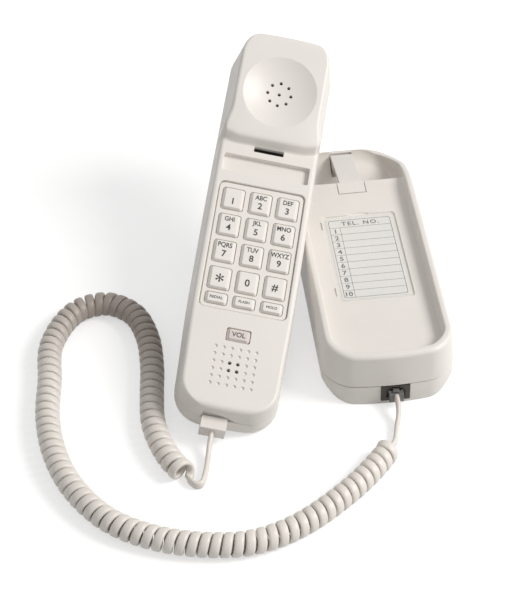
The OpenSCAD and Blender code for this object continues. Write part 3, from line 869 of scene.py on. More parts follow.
BASE_WIDE, FRONT_Y, BACK_Y = 69.0, -94.0, 94.0
RIM_Z, RIDGE_Z, PARTING_Z, TRAY_Z, TRAY_END = 34.0, 18.0, 13.0, 27.0, 54.3
FRONT_CORNER, BACK_CORNER, FRONT_BOW = 15.0, 24.0, 4.0
DRAFT = 1.6
HOUSING_WALL = 2.2
WELL_FLOOR = [
    (54.3, 16.0), (58.3, 13.0), (65.3, 10.6), (74.3, 10.0), (82.3, 11.2), (86.6, 13.4), (89.4, 16.0),
    (92.0, 16.8),
]
CARD_Y = -8.3
BASE_SCREWS = [(-25, -76), (25, -76), (-25, 44), (25, 44)]
FEET = [(-20, -74), (20, -74), (-18, 74), (18, 74)]
JACK_X = 1.5
JACK_HALF = 7.6


def base_plan():
    """Outline of the base at its parting line: (x, y, outward normal) at each point"""
    half = BASE_WIDE / 2
    side_back = [BACK_Y - BACK_CORNER - 0.5 - 3.4 * i for i in range(44)]
    side_back = [y for y in side_back if y > FRONT_Y + FRONT_CORNER + 1]
    side_back = sorted(side_back + [TRAY_END - 0.15, TRAY_END + 0.15], reverse=True)
    b, f = BACK_CORNER, FRONT_CORNER
    points = arc(half - b, BACK_Y - b, b, 0, 90, 15)
    points += [(half - b - (half - b) * k / 3, BACK_Y) for k in range(1, 6)]
    points += arc(-half + b, BACK_Y - b, b, 90, 180, 15)
    points += [(-half, y) for y in side_back]
    points += arc(-half + f, FRONT_Y + f, f, 180, 270, 13)
    points += [(-half + f + (half - f) * k / 4, FRONT_Y) for k in range(1, 8)]
    points += arc(half - f, FRONT_Y + f, f, 270, 360, 13)
    points += [(half, y) for y in reversed(side_back)]
    bowed = []
    for x, y in points:
        share = (x / half) ** 2
        y += FRONT_BOW * share * ease(-y / 60) - FRONT_BOW / 2 * share * ease((y - 58) / 12)
        bowed.append(Vector((x, y)))
    result = []
    for i, p in enumerate(bowed):
        line = bowed[(i + 1) % len(bowed)] - bowed[i - 1]
        result.append((p, Vector((line.y, -line.x)).normalized()))
    return result


def rim_height(y):
    """Height of the rim, falling from the tray to the ridge behind the ear well"""
    t = min(1, max(0, (y - 40.3) / 49.7))
    return RIM_Z - (RIM_Z - RIDGE_Z) * (1 - cos(pi * t)) / 2


def floor_height(y):
    """Height of the tray's and the well's floor"""
    return TRAY_Z if y < TRAY_END else between(WELL_FLOOR, y)


def front_share(y):
    """1 at the front of the base, 0 along its sides"""
    return ease((-y - 74) / 16)


def top_ring(plan, inset, height):
    """One ring of the upper housing; inset and height are given as functions of a point's y"""
    ring = []
    for p, normal in plan:
        depth = inset(p.y)
        y = p.y - normal.y * depth
        z = height(y)
        drawn = DRAFT * (z - PARTING_Z) / (RIM_Z - PARTING_Z)
        drawn *= normal.x ** 2 + normal.y ** 2 * (0.2 if normal.y < 0 else 0.4)
        q = p - normal * (depth + max(0, drawn))
        ring.append((q.x, q.y, z))
    return ring


def flat_outline(plan, inset, z):
    """Outline of the base drawn in by an inset"""
    return at([tuple(p - normal * inset) for p, normal in plan], z)


def tray_wall(sizes, plan):
    """The outer wall, its rounded rim and its inner side with the fillet to the floor"""
    seam = PARTING_Z + sizes.seam / MM / 2
    side, front = sizes.rim_width / MM, sizes.rim_front / MM
    edge = sizes.rim_round / MM
    lead = 0.35

    def width(y):
        return side + (front - side) * front_share(y)

    def outer(y):
        return edge + 0.9 * front_share(y)

    def inner(y):
        return 0.9 + 0.5 * front_share(y)

    def foot(y):
        return 1.5 + 2.2 * ease((y - TRAY_END - 1) / 8)

    def inner_start(y):
        return width(y) - inner(y)

    rings = [
        top_ring(plan, lambda y: lead, lambda y: seam),
        top_ring(plan, lambda y: 0.0, lambda y: seam + lead),
    ]
    for share in (0.33, 0.66, 1.0):
        rings.append(top_ring(
            plan, lambda y: 0.0,
            lambda y: seam + lead + (rim_height(y) - outer(y) - seam - lead) * share,
        ))
    for k in range(1, 7):
        a = radians(15 * k)
        rings.append(top_ring(
            plan, lambda y: outer(y) * (1 - cos(a)), lambda y: rim_height(y) - outer(y) * (1 - sin(a))
        ))
    for k in range(6):
        a = radians(90 - 18 * k)
        rings.append(top_ring(
            plan, lambda y: inner_start(y) + inner(y) * cos(a),
            lambda y: rim_height(y) - inner(y) * (1 - sin(a)),
        ))
    rings.append(top_ring(plan, lambda y: width(y) + 0.1, lambda y: (rim_height(y) + floor_height(y)) / 2))
    for k in range(6):
        a = radians(18 * k)
        rings.append(top_ring(
            plan, lambda y: width(y) + 0.2 + foot(y) * (1 - cos(a)),
            lambda y: floor_height(y) + foot(y) * (1 - sin(a)) - 0.04 * k / 5,
        ))
    rings.append(top_ring(plan, lambda y: width(y) + 0.2 + foot(y), lambda y: floor_height(y) - 1.6))
    rings.append(top_ring(plan, lambda y: 2.9, lambda y: floor_height(y) - 1.6))
    rings.append(top_ring(plan, lambda y: 2.9, lambda y: seam))
    rings.append(rings[0])
    return loose("housing_top", skin(bmesh.new(), rings, hollow=True))


def tray_floor(plan):
    """The floor of the tray and the well, one sheet with a step at the tray's end"""
    top = [(FRONT_Y + 1, TRAY_Z), (TRAY_END - 4, TRAY_Z)]
    top += [(y, z) for y, z in reversed(arc(TRAY_END - 0.9, TRAY_Z - 0.9, 0.9, 0, 90, 6))]
    top += [(TRAY_END, 17.4)]
    top += [(y, z) for y, z in arc(TRAY_END + 1.2, 17.0, 1.2, 180, 225, 4)]
    top += [(y, between(WELL_FLOOR, y)) for y in (TRAY_END + 1.6 + 0.9 * k for k in range(39))]
    top += [(BACK_Y - 1, between(WELL_FLOOR, 92))]
    under = [(y, between(WELL_FLOOR, y) - HOUSING_WALL) for y in (92 - 3.0 * k for k in range(12))]
    step = TRAY_END - HOUSING_WALL
    under = [(BACK_Y - 1, 14.4)] + under + [(step, 13.8), (step, 23.8), (FRONT_Y + 1, 23.8)]
    sheet = loose("floor_sheet", prism(bmesh.new(), top + under, -40, 40))
    fence = skin(bmesh.new(), [flat_outline(plan, 3.2, z) for z in (-5.0, 60.0)])
    return carve(sheet, fence, "INTERSECT")


def as_tool(piece):
    """Takes an object's mesh back as a bmesh and removes the object"""
    bm = bmesh.new()
    bm.from_mesh(piece.data)
    mesh = piece.data
    bpy.data.objects.remove(piece)
    bpy.data.meshes.remove(mesh)
    return bm


class PHONE_OT_housing(bpy.types.Operator):
    """Upper and lower housing of the base"""

    bl_idname = "phone.housing"
    bl_label = "Base housing"

    def execute(self, context):
        sizes = context.scene.phone_base
        plan = base_plan()
        top = carve(tray_wall(sizes, plan), as_tool(tray_floor(plan)), "UNION")
        cuts = bmesh.new()
        sunk(cuts, lambda o: rounded(39.8 + 2 * o, 68.8 + 2 * o, 2.0 + o, y=CARD_Y), 1.0, 0.35, 0.15, TRAY_Z)
        carve(top, cuts)
        thumb = bmesh.new()
        sunk(
            thumb, lambda o: [(x * (1 + o / 6), 25.4 + y * (0.36 + o / 6)) for x, y in disc(6.0, 40)],
            0.9, 0.3, 0.3, TRAY_Z,
        )
        carve(top, thumb)
        for y in (18.5, -35.0):
            carve(top, block(bmesh.new(), -21.4, -20.6, y - 3.2, y + 3.2, TRAY_Z - 0.7, TRAY_Z + 1))
        notch = [
            (44.0, 28.0), (44.0, 26.8), (43.8, 26.3), (41.7, 23.6), (41.7, 18.0),
            (TRAY_END + 1, 18.0), (TRAY_END + 1, 28.0),
        ]
        carve(top, prism(bmesh.new(), notch, -7.8, 7.8))
        carve(top, block(bmesh.new(), -6.3, 6.3, 79.0, 91.0, 2.6, 20.0))
        jack_sides = JACK_X - JACK_HALF, JACK_X + JACK_HALF
        carve(top, block(bmesh.new(), *jack_sides, FRONT_Y - 2, FRONT_Y + 6, 5, PARTING_Z + 0.4))
        complete(top, "base", "shell", ("base_top_shell",))

        seam = PARTING_Z - sizes.seam / MM / 2
        levels = [(0.0, 0.5), (0.12, 0.2), (0.4, 0.0)]
        levels += [(z, 0.0) for z in (0.9, 1.7, 2.8, 4.2, 5.6, 7.0, 9.5, seam - 0.4)]
        levels += [(seam - 0.12, 0.08), (seam, 0.35)]
        rings = [self.cup_ring(plan, z, inset + 0.1) for z, inset in levels]
        rings += [self.cup_ring(plan, z, HOUSING_WALL) for z in (seam, 7.0, 4.2, HOUSING_WALL)]
        bottom = loose("housing_bottom", skin(bmesh.new(), rings))
        for x, y in BASE_SCREWS:
            carve(bottom, post(bmesh.new(), x, y, 4.2, 1.0, 9.0), "UNION")
            carve(bottom, post(bmesh.new(), x, y, 3.2, -1.0, 3.4))
            carve(bottom, post(bmesh.new(), x, y, 1.7, 3.0, 10.0))
        for x, y in FEET:
            carve(bottom, post(bmesh.new(), x, y, 5.1, -1.0, 1.2, 40))
        for y in (-42.0, 42.1):
            carve(bottom, post(bmesh.new(), 0, y, 4.5, -1.0, 3.2, 40))
            carve(bottom, block(bmesh.new(), -2.1, 2.1, y, y + 9.5, -1.0, 3.2))
        carve(bottom, block(bmesh.new(), *jack_sides, -96, -79.8, 3.0, 14))
        carve(bottom, block(bmesh.new(), 18.3, 40, 23.4, 36.6, HOUSING_WALL, 12.7))
        complete(bottom, "base", "shell", ("base_bottom_shell",))
        return {"FINISHED"}

    @staticmethod
    def cup_ring(plan, z, inset):
        """Outline of the lower housing, drawn in towards its foot"""
        tuck = 1 - (min(z, 7.0) / 7.0) ** 0.6
        ring = []
        for p, normal in plan:
            drawn = 4.5 * normal.x ** 2 + (0.8 if normal.y < 0 else 1.2) * normal.y ** 2
            q = p - normal * (inset + tuck * drawn)
            ring.append((q.x, q.y, z))
        return ring


# ---------- hook, card, jacks and plugs ----------


class PHONE_OT_hook(bpy.types.Operator):
    """Lever that the handset presses down: a tab in the tray and a strap over the ear well"""

    bl_idname = "phone.hook"
    bl_label = "Hook lever"

    def execute(self, context):
        end = BACK_Y - 3.6 - 0.7
        slope = (RIDGE_Z + 0.4 - TRAY_Z) / (BACK_Y - 5.6 - TRAY_END)

        def strap(y):
            return TRAY_Z + slope * (y - TRAY_END) + 0.35 * sin(pi * min(1, (y - TRAY_END) / 35))

        tab = [(44.6, 26.7), (44.9, TRAY_Z), (54.0, TRAY_Z), (54.0, 24.6), (45.9, 24.6)]
        lever = loose("hook_lever_shaped", softened(prism(bmesh.new(), tab, -7.45, 7.45), 0.3))
        top = [(52.3, TRAY_Z)] + [(54.3 + 2.2 * k, strap(54.3 + 2.2 * k)) for k in range(16)]
        top += [(end - 0.9, strap(end) + 0.25), (end, strap(end) - 0.5)]
        under = [(y, z - 2.4) for y, z in top[1:-2]]
        outline = top + [(end, strap(end) - 2.3)] + under[::-1] + [(52.3, 24.6)]
        carve(lever, softened(prism(bmesh.new(), outline, -6.0, 6.0), 0.25), "UNION")
        pivot = (BACK_Y - 8.5, 6.6)
        fore, aft = pivot[0] - 2.4, pivot[0] + 2.4
        leg = [(fore, pivot[1]), (aft, pivot[1]), (aft, 18.4), (fore, 18.9)]
        carve(lever, prism(bmesh.new(), leg, -5.5, 5.5), "UNION")
        hub = [(y, z) for y, z in arc(*pivot, 2.5, 0, 345, 24)]
        carve(lever, prism(bmesh.new(), hub, -5.5, 5.5), "UNION")
        bore = [(y, z) for y, z in arc(*pivot, 1.25, 0, 345, 24)]
        carve(lever, prism(bmesh.new(), bore, -14, 14))
        complete(lever, "hook_lever", "shell", ("hook_lever",))
        return {"FINISHED"}


CARD_TOP = TRAY_Z - 0.7
CARD_ROWS = 10


class PHONE_OT_card(bpy.types.Operator):
    """Number card with its printing, under a clear window"""

    bl_idname = "phone.card"
    bl_label = "Index card"

    def execute(self, context):
        card = bmesh.new()
        skin(card, [at(rounded(36, 65, 1.0, y=CARD_Y), z) for z in (CARD_TOP - 0.3, CARD_TOP)])
        piece = loose("number_card", card)
        complete(piece, "base", "card", ("index_card",))

        print_bm = bmesh.new()
        wide, header, row, column, line = 33.6, 5.9, 5.62, 5.7, 0.30
        high = header + CARD_ROWS * row
        x0, y1 = -wide / 2, CARD_Y + high / 2
        low, top = CARD_TOP + 0.006, CARD_TOP + 0.03
        outer = rounded(wide + line, high + line, 1.5, y=CARD_Y)
        inner = rounded(wide - line, high - line, 1.35, y=CARD_Y)
        frame_rings = [at(outer, low), at(outer, top), at(inner, top), at(inner, low), at(outer, low)]
        border = bmesh.new()
        skin(border, frame_rings, hollow=True)
        absorb(print_bm, border)
        for k in range(CARD_ROWS):
            y = y1 - header - k * row
            block(print_bm, x0, -x0, y - line / 2.6, y + line / 2.6, low, top)
        block(print_bm, x0 + column - line / 2.6, x0 + column + line / 2.6, y1 - high, y1 - header, low, top)
        lettering(print_bm, "TEL. NO.", 4.3, 0.3, y1 - header / 2, low, top, weight=0.09, spread=1.25)
        for k in range(CARD_ROWS):
            y = y1 - header - (k + 0.5) * row
            lettering(print_bm, str(k + 1), 4.6, x0 + column / 2, y, low, top, weight=0.11)
        piece = loose("card_print", print_bm)
        complete(piece, "base", "print", sharp=20, weighted=False)

        window = bmesh.new()
        rings = [(0.25, 0.06), (0.0, 0.2), (0.0, 0.42), (0.25, 0.5)]
        sheets = [
            at(rounded(38.9 - 2 * i, 67.9 - 2 * i, 1.9 - i, y=CARD_Y), CARD_TOP + z) for i, z in rings
        ]
        skin(window, sheets)
        piece = loose("card_window_clear", window)
        complete(piece, "base", "window", ("index_cover",))
        return {"FINISHED"}


def lettering(bm, text, size, x, y, low, top, weight=0.0, spread=1.0, narrow=1.0):
    """Adds thin flat lettering centred on a point, all in millimetres"""
    curve = bpy.data.curves.new("lettering", "FONT")
    curve.body = text
    curve.size = size * MM
    curve.offset = weight * MM
    curve.space_character = spread
    curve.resolution_u = 4
    curve.extrude = (top - low) / 2 * MM
    holder = bpy.data.objects.new("lettering", curve)
    bpy.context.scene.collection.objects.link(holder)
    bpy.context.view_layer.update()
    graph = bpy.context.evaluated_depsgraph_get()
    mesh = bpy.data.meshes.new_from_object(holder.evaluated_get(graph))
    xs = [v.co.x for v in mesh.vertices]
    ys = [v.co.y for v in mesh.vertices]
    middle = Vector(((min(xs) + max(xs)) / 2, (min(ys) + max(ys)) / 2, 0))
    mesh.transform(
        Matrix.Translation(Vector((x, y, (low + top) / 2)) * MM)
        @ Matrix.Diagonal((narrow, 1, 1, 1))
        @ Matrix.Translation(-middle)
    )
    bm.from_mesh(mesh)
    bpy.data.objects.remove(holder)
    bpy.data.curves.remove(curve)
    bpy.data.meshes.remove(mesh)
    return bm


JACK_PLACE = Matrix.Translation(Vector((1.5, -94.4, 8.0)) * MM)
HANDSET_JACK_PLACE = HANDSET_PLACE @ Matrix.Translation(Vector((-4.5, 0.6, -13)) * MM)
LINE_JACK_PLACE = Matrix.Translation(Vector((33.9, 30, 7.45)) * MM) @ Matrix.Rotation(radians(90), 4, "Z")
PLUG_OUT = Matrix.Translation(Vector((0, -3.2, 0)) * MM)


def jack(name, width, height, depth, opening, place, body, node):
    """Socket block: its mouth at y = 0, with a latch channel, stepped cheeks and contact wires"""
    ow, oh, od, count = opening
    piece = loose(name, block(bmesh.new(), -width / 2, width / 2, 0, depth, -height / 2, height / 2, 0.3))
    carve(piece, block(bmesh.new(), -ow / 2, ow / 2, -1, od, -oh / 2, oh / 2))
    carve(piece, block(bmesh.new(), -1.9, 1.9, -1, od, oh / 2 - 0.5, min(oh / 2 + 1.0, height / 2 - 0.4)))
    for x in (-1, 1):
        cheek = sorted((x * (ow / 2 - 0.2), x * (ow / 2 + 0.9)))
        carve(piece, block(bmesh.new(), *cheek, -1, 0.9, -oh / 2 + 1.0, oh / 2 - 1.0))
    complete(piece, body, "jack", (node,), place)
    wires = bmesh.new()
    for k in range(count):
        x = (k - (count - 1) / 2) * 1.02
        block(wires, x - 0.2, x + 0.2, 1.4, od - 0.3, -oh / 2 + 0.25, -oh / 2 + 0.6, 0.08, 1)
    complete(loose(name + "_contacts", wires), body, "gold", place=place)


def plug(name, place, body, node):
    """Clear four-way plug: body with a sloped nose, sprung latch and four contacts"""
    piece = loose(name, block(bmesh.new(), -3.82, 3.82, 0, 11.7, -3.3, 2.1, 0.3))
    latch = [(10.9, 1.8), (10.9, 2.5), (9.0, 2.9), (1.2, 3.1), (1.2, 2.5), (8.2, 2.35), (8.8, 1.8)]
    carve(piece, prism(bmesh.new(), latch, -1.55, 1.55), "UNION")
    carve(piece, block(bmesh.new(), -2.9, 2.9, 3.0, 5.0, 1.2, 2.3))
    complete(piece, body, "plug", (node,), place)
    blades = bmesh.new()
    for k in range(4):
        x = (k - 1.5) * 1.02
        block(blades, x - 0.16, x + 0.16, 8.4, 11.2, -3.42, -3.31, 0.03, 1)
    complete(loose(name + "_contacts", blades), body, "gold", place=place)


class PHONE_OT_plugs(bpy.types.Operator):
    """The three sockets and the two plugs of the curly cord"""

    bl_idname = "phone.plugs"
    bl_label = "Jacks and plugs"

    def execute(self, context):
        small, line = (7.85, 6.8, 10, 4), (9.9, 6.8, 12.5, 6)
        jack("jack_base", 15, 9.8, 14.5, small, JACK_PLACE, "base", "base_handset_jack")
        jack("jack_handset", 13, 9.4, 13, small, HANDSET_JACK_PLACE, "handset", "handset_jack")
        jack("jack_line", 13, 10.3, 15.5, line, LINE_JACK_PLACE, "base", "line_jack")
        plug("plug_base", JACK_PLACE @ PLUG_OUT, "base", "cord_plug_base")
        plug("plug_handset", HANDSET_JACK_PLACE @ PLUG_OUT, "handset", "cord_plug_handset")
        return {"FINISHED"}


# ---------- handset ----------

HANDSET_LONG, GRIP_HALF, SIDE_IN, EAR_IN = 216.0, 28.0, 1.6, 3.6
STEP_Y, EAR_RISE, STEP_CORNER = 158.0, 0.24933, 6.0
BACK_LINE = [
    (-4, 20), (10, 22), (40, 24.6), (80, 26), (113, 26), (153.5, 22.5), (184, 16), (210, 9), (216, 6),
]
SIDE_LINE = [(14, -1.2), (30, -0.8), (60, 0), (130, 0), (165, -0.2), (190, -0.4), (200, -0.5)]
STEP_LINE = [
    (154.6, 0), (155.3, 0.08), (155.9, 0.5), (156.4, 1.5), (157.1, 3.7), (157.5, 4.75), (158.1, 5.55),
    (159.0, 6.08), (160.2, 6.49), (161.6, 6.898),
]
STATIONS = [0, 0.15, 0.5, 1.1, 2.0, 3.2, 4.8, 7, 10, 14, 20, 28, 37, 46, 56, 66, 76, 86, 96, 106, 116, 126]
STATIONS += [136, 143, 148.5, 151.5, 153.6, 154.6, 155.3, 155.7, 156.1, 156.5, 156.9, 157.2, 157.5, 157.8]
STATIONS += [158.2, 158.7, 159.4, 160.4, 161.6, 163.6, 167, 170, 175, 181, 187, 192.5, 196.5, 199.5, 202.6]
STATIONS += [205.3, 207.8, 209.8, 211.7, 213.1, 214.2, 215.1, 215.6, 215.85, 216]
SPLIT_START, SPLIT_END = -20, 234
SPLIT_LINE = [(SPLIT_START, -10), (154, -10), (216, 3), (SPLIT_END, 6.8)]


def drop(distance, radius):
    """How far a rounded end falls away at a distance from the end"""
    if distance >= radius:
        return 0.0
    return radius - sqrt(max(0.0, radius * radius - (radius - distance) ** 2))


def face_height(y):
    """Height of the handset's face along its length"""
    if y < STEP_LINE[0][0]:
        return 0.0
    if y < STEP_LINE[-1][0]:
        return between(STEP_LINE, y)
    return 6 + (y - STEP_Y) * EAR_RISE


def half_width(y):
    """Half width of the handset along its length, with its rounded ends"""
    near = 10.0 * drop(HANDSET_LONG - y, 12.0) / 12.0
    return GRIP_HALF + between(SIDE_LINE, y) - drop(y, 14.0) - near


def handset_ring(sizes, y, inset):
    """One section across the handset"""
    from_ear = HANDSET_LONG - y
    front, ear = sizes.face_round / MM, sizes.ear_round / MM
    rf = max(front + (ear - front) * ease((y - STEP_Y + 2) / 4) - inset, 0.8)
    rb = max(sizes.back_round / MM - inset, 3.2)
    w = half_width(y) - inset
    wf = w - SIDE_IN - (EAR_IN - SIDE_IN) * ease((y - STEP_Y) / 14)
    zf = face_height(y) - inset - drop(y, 2.4) - drop(from_ear, 3.6)
    zb = -between(BACK_LINE, y) + inset + drop(y, 5.5) + drop(from_ear, 4.5)
    rf, rb = min(rf, wf - 0.5), min(rb, w - 0.5, (zf - zb) * 0.6)
    across = [1 - k / 4 for k in range(1, 8)]
    points = arc(wf - rf, zf - rf, rf, 0, 90, 8)
    points += [((wf - rf) * k, zf) for k in across]
    points += arc(-wf + rf, zf - rf, rf, 90, 180, 8)
    points += arc(-w + rb, zb + rb, rb, 180, 270, 9)
    points += [(-(w - rb) * k, zb) for k in across]
    points += arc(w - rb, zb + rb, rb, 270, 360, 9)
    drawn = y
    if y < 15:
        drawn = y + inset * (15 - y) / 15
    elif from_ear < 15:
        drawn = y - inset * (15 - from_ear) / 15
    elif -4.4 < y - STEP_Y < 14:
        drawn = y + inset * ease((y - STEP_Y + 4.4) / 1.5) * ease((STEP_Y + 14 - y) / 11)
    corner = ease((y - STEP_Y + 8.4) / 5) * ease((STEP_Y + 26 - y) / 20)
    ring = []
    for x, z in points:
        share = (x / GRIP_HALF) ** 2
        place = drawn + 0.2 * z * max(0, 1 - y / 30)
        place += 2.0 * share * ease(1 - y / 25) - 1.8 * share * ease((33 - from_ear) / 33)
        if z > zf - rf - 0.01:
            u = min(0.96, max(0.0, (abs(x) - (wf - STEP_CORNER)) / STEP_CORNER))
            place += STEP_CORNER * (1 - sqrt(1 - u * u)) * corner
        ring.append((x, place, z))
    return ring


def handset_skin(sizes, inset):
    return skin(bmesh.new(), [handset_ring(sizes, y, inset) for y in STATIONS])


def split_tool(above, gap):
    """Everything above or below the line where the two shells meet"""
    far = 60 if above else -60
    line = [(y, z + (gap if above else -gap) / 2) for y, z in SPLIT_LINE]
    outline = line + [(SPLIT_END, far), (SPLIT_START, far)]
    return prism(bmesh.new(), outline, -50, 50)


HANDSET_SCREWS = [(0, 145, -20.4), (-19, 13, -18.6), (19, 13, -18.6)]
DISH_Y, DISH_RADIUS, DISH_FLOOR, DISH_RING = 27.0, 20.0, -6.6, 6.3
MIC_Y, MIC_STEP = 23.8, 4.2
LABEL_Y, SLOT_Y, PANEL_Y, PANEL_LONG = 143.35, 153.95, 93.6, 76.2
LABEL_BACKING = 6.75
SHELL_GAP = -0.16


def in_ear_block(bm):
    """Turns a tool made on the ear block's own face into the handset's frame"""
    bm.transform(HANDSET_PLACE.inverted() @ EAR_PLACE)
    return bm


class PHONE_OT_handset(bpy.types.Operator):
    """Front and back shell of the handset"""

    bl_idname = "phone.handset"
    bl_label = "Handset shells"

    def execute(self, context):
        sizes = context.scene.phone_handset
        jack_hole = (-11.1, 2.1, -8, 3, -17.8, -8.2)
        front = loose("shell_front", handset_skin(sizes, 0.0))
        carve(front, handset_skin(sizes, 2.2))
        back = loose("shell_back", bmesh_of(front))
        carve(front, split_tool(False, SHELL_GAP))
        carve(back, split_tool(True, SHELL_GAP))

        behind_label = LABEL_Y - LABEL_BACKING, LABEL_Y + LABEL_BACKING
        carve(front, block(bmesh.new(), -24.4, 24.4, *behind_label, -4.9, -1.7), "UNION")
        pad = turned(bmesh.new(), [(0, DISH_FLOOR), (21.6, DISH_FLOOR), (21.6, -1), (0, -1)], 64, 0, DISH_Y)
        carve(front, in_ear_block(pad), "UNION")
        cuts = bmesh.new()
        sunk(cuts, lambda o: rounded(46 + 2 * o, PANEL_LONG + 2 * o, 3 + o, y=PANEL_Y), 5.0, 0.5, 0.1)
        carve(front, cuts)
        cuts = bmesh.new()
        sunk(cuts, lambda o: rounded(46 + 2 * o, 10.3 + 2 * o, 0.7 + o, y=LABEL_Y), 3.2, 0.3, 0.3)
        carve(front, cuts)
        cuts = bmesh.new()
        sunk(cuts, lambda o: rounded(16 + 2 * o, 3.1 + 2 * o, 0.5 + o, 4, y=SLOT_Y), 8.0, 0.2, 0.1)
        sunk(cuts, lambda o: rounded(12.6 + 2 * o, 7.6 + 2 * o, 0.9 + o, 5, y=VOLUME_Y), 6.0, 0.3, 0.1)
        carve(front, cuts)
        carve(front, in_ear_block(self.dish(sizes)))
        holes = bmesh.new()
        for k in range(9):
            a = radians(45 * k)
            r = DISH_RING if k < 8 else 0.0
            post(holes, r * cos(a), DISH_Y + r * sin(a), 0.9, DISH_FLOOR - 2, 1.0, 18)
        carve(front, in_ear_block(holes))
        carve(front, self.mouth_grid(sizes))
        carve(front, block(bmesh.new(), *jack_hole))
        complete(front, "handset", "shell", ("handset_front_shell",), HANDSET_PLACE, 30)

        bosses = bmesh.new()
        for x, y, seat in HANDSET_SCREWS:
            post(bosses, x, y, 4, seat - 2.2, -12)
        carve(back, bosses, "UNION")
        bores = bmesh.new()
        for x, y, seat in HANDSET_SCREWS:
            post(bores, x, y, 3, -30, seat)
        carve(back, bores)
        carve(back, block(bmesh.new(), *jack_hole))
        complete(back, "handset", "shell", ("handset_back_shell",), HANDSET_PLACE, 30)
        return {"FINISHED"}

    @staticmethod
    def dish(sizes):
        """Bowl of the ear dish with a crisp, slightly rounded rim"""
        deep = sizes.dish_depth / MM
        sphere = (DISH_RADIUS ** 2 + deep ** 2) / (2 * deep)
        reach = asin(DISH_RADIUS / sphere)
        profile = [(0, -deep)]
        for k in range(1, 13):
            a = reach * k / 12 * 0.985
            profile.append((sphere * sin(a), sphere * (1 - cos(a)) - deep))
        profile += [(DISH_RADIUS + 0.05, 0.02), (DISH_RADIUS + 0.5, 0.3), (DISH_RADIUS + 1.0, 3), (0, 3)]
        return turned(bmesh.new(), profile, 96, 0, DISH_Y)

    @staticmethod
    def mouth_grid(sizes):
        """Six rows of dimples; the four in the middle are holes"""
        r = sizes.dimple / MM
        bowl = [(0, -0.95), (0.5 * r, -0.86), (0.85 * r, -0.55), (r, 0.02), (1.1 * r, 1), (0, 1)]
        cuts = bmesh.new()
        for i in range(6):
            for j in range(6):
                x, y = (i - 2.5) * MIC_STEP, MIC_Y + (j - 2.5) * MIC_STEP
                if i in (2, 3) and j in (2, 3):
                    post(cuts, x, y, r, -6, 2, 16)
                else:
                    turned(cuts, bowl, 14, x, y)
        return cuts


def bmesh_of(piece):
    """A copy of a piece's mesh as a bmesh"""
    bm = bmesh.new()
    bm.from_mesh(piece.data)
    return bm


# ---------- keypad ----------

KEY_STEP_X, KEY_STEP_Y, ROW_Y, FUNCTION_Y, VOLUME_Y = 14.5, 16.0, 73.5, 61.6, 42.2
KEY_WIDE, KEY_LONG, FUNCTION_LONG = 11.5, 13.0, 6.6
DIGITS = (
    ("key_1", "1", ""), ("key_2", "2", "ABC"), ("key_3", "3", "DEF"),
    ("key_4", "4", "GHI"), ("key_5", "5", "JKL"), ("key_6", "6", "MNO"),
    ("key_7", "7", "PQRS"), ("key_8", "8", "TUV"), ("key_9", "9", "WXYZ"),
    ("key_star", "*", ""), ("key_0", "0", ""), ("key_hash", "#", ""),
)
FUNCTIONS = (("key_redial", "REDIAL"), ("key_flash", "FLASH"), ("key_hold", "HOLD"))


def digit_place(index):
    """Middle of a digit key on the handset's face"""
    return (index % 3 - 1) * KEY_STEP_X, ROW_Y + (3 - index // 3) * KEY_STEP_Y


def key_cap(name, x, y, wide, long, top, under, sizes, finish):
    """A key: a flange under the panel and a cap with sloping sides and a softly rounded top"""
    slope, r = sizes.taper / MM, sizes.rounding / MM
    flange = at(rounded(wide + 1.6, long + 0.3, 1.4, x=x, y=y), under - 1.6)
    rings = [flange, [(px, py, under - 0.3) for px, py, _ in flange]]
    rings.append(at(rounded(wide, long, 1.4, x=x, y=y), under - 0.3))
    rings.append(at(rounded(wide, long, 1.4, x=x, y=y), min(under + 2.4, top - 1.4)))
    for k in range(5):
        a = radians(22.5 * k)
        d = slope + r * (1 - cos(a))
        shoulder = rounded(wide - 2 * d, long - 1.3 * d, max(1.4 - d * 0.6, 0.6), x=x, y=y)
        rings.append(at(shoulder, top - r * (1 - sin(a)) - 0.06))
    d = slope + r + 1.2
    rings.append(at(rounded(wide - 2 * d, long - 1.3 * d - 0.5, 0.6, x=x, y=y), top - 0.015))
    piece = loose(name + "_cap", skin(bmesh.new(), rings))
    complete(piece, name, finish, (name,), HANDSET_PLACE, 34)


def key_print(name, words, top):
    """Legend on a key: (text, size, x, y, narrow) for each word"""
    bm = bmesh.new()
    for text, size, x, y, weight, narrow in words:
        lettering(bm, text, size, x, y, top - 0.02, top + 0.018, weight, 1.0, narrow)
    complete(loose(name + "_print", bm), name, "print", place=HANDSET_PLACE, sharp=20, weighted=False)


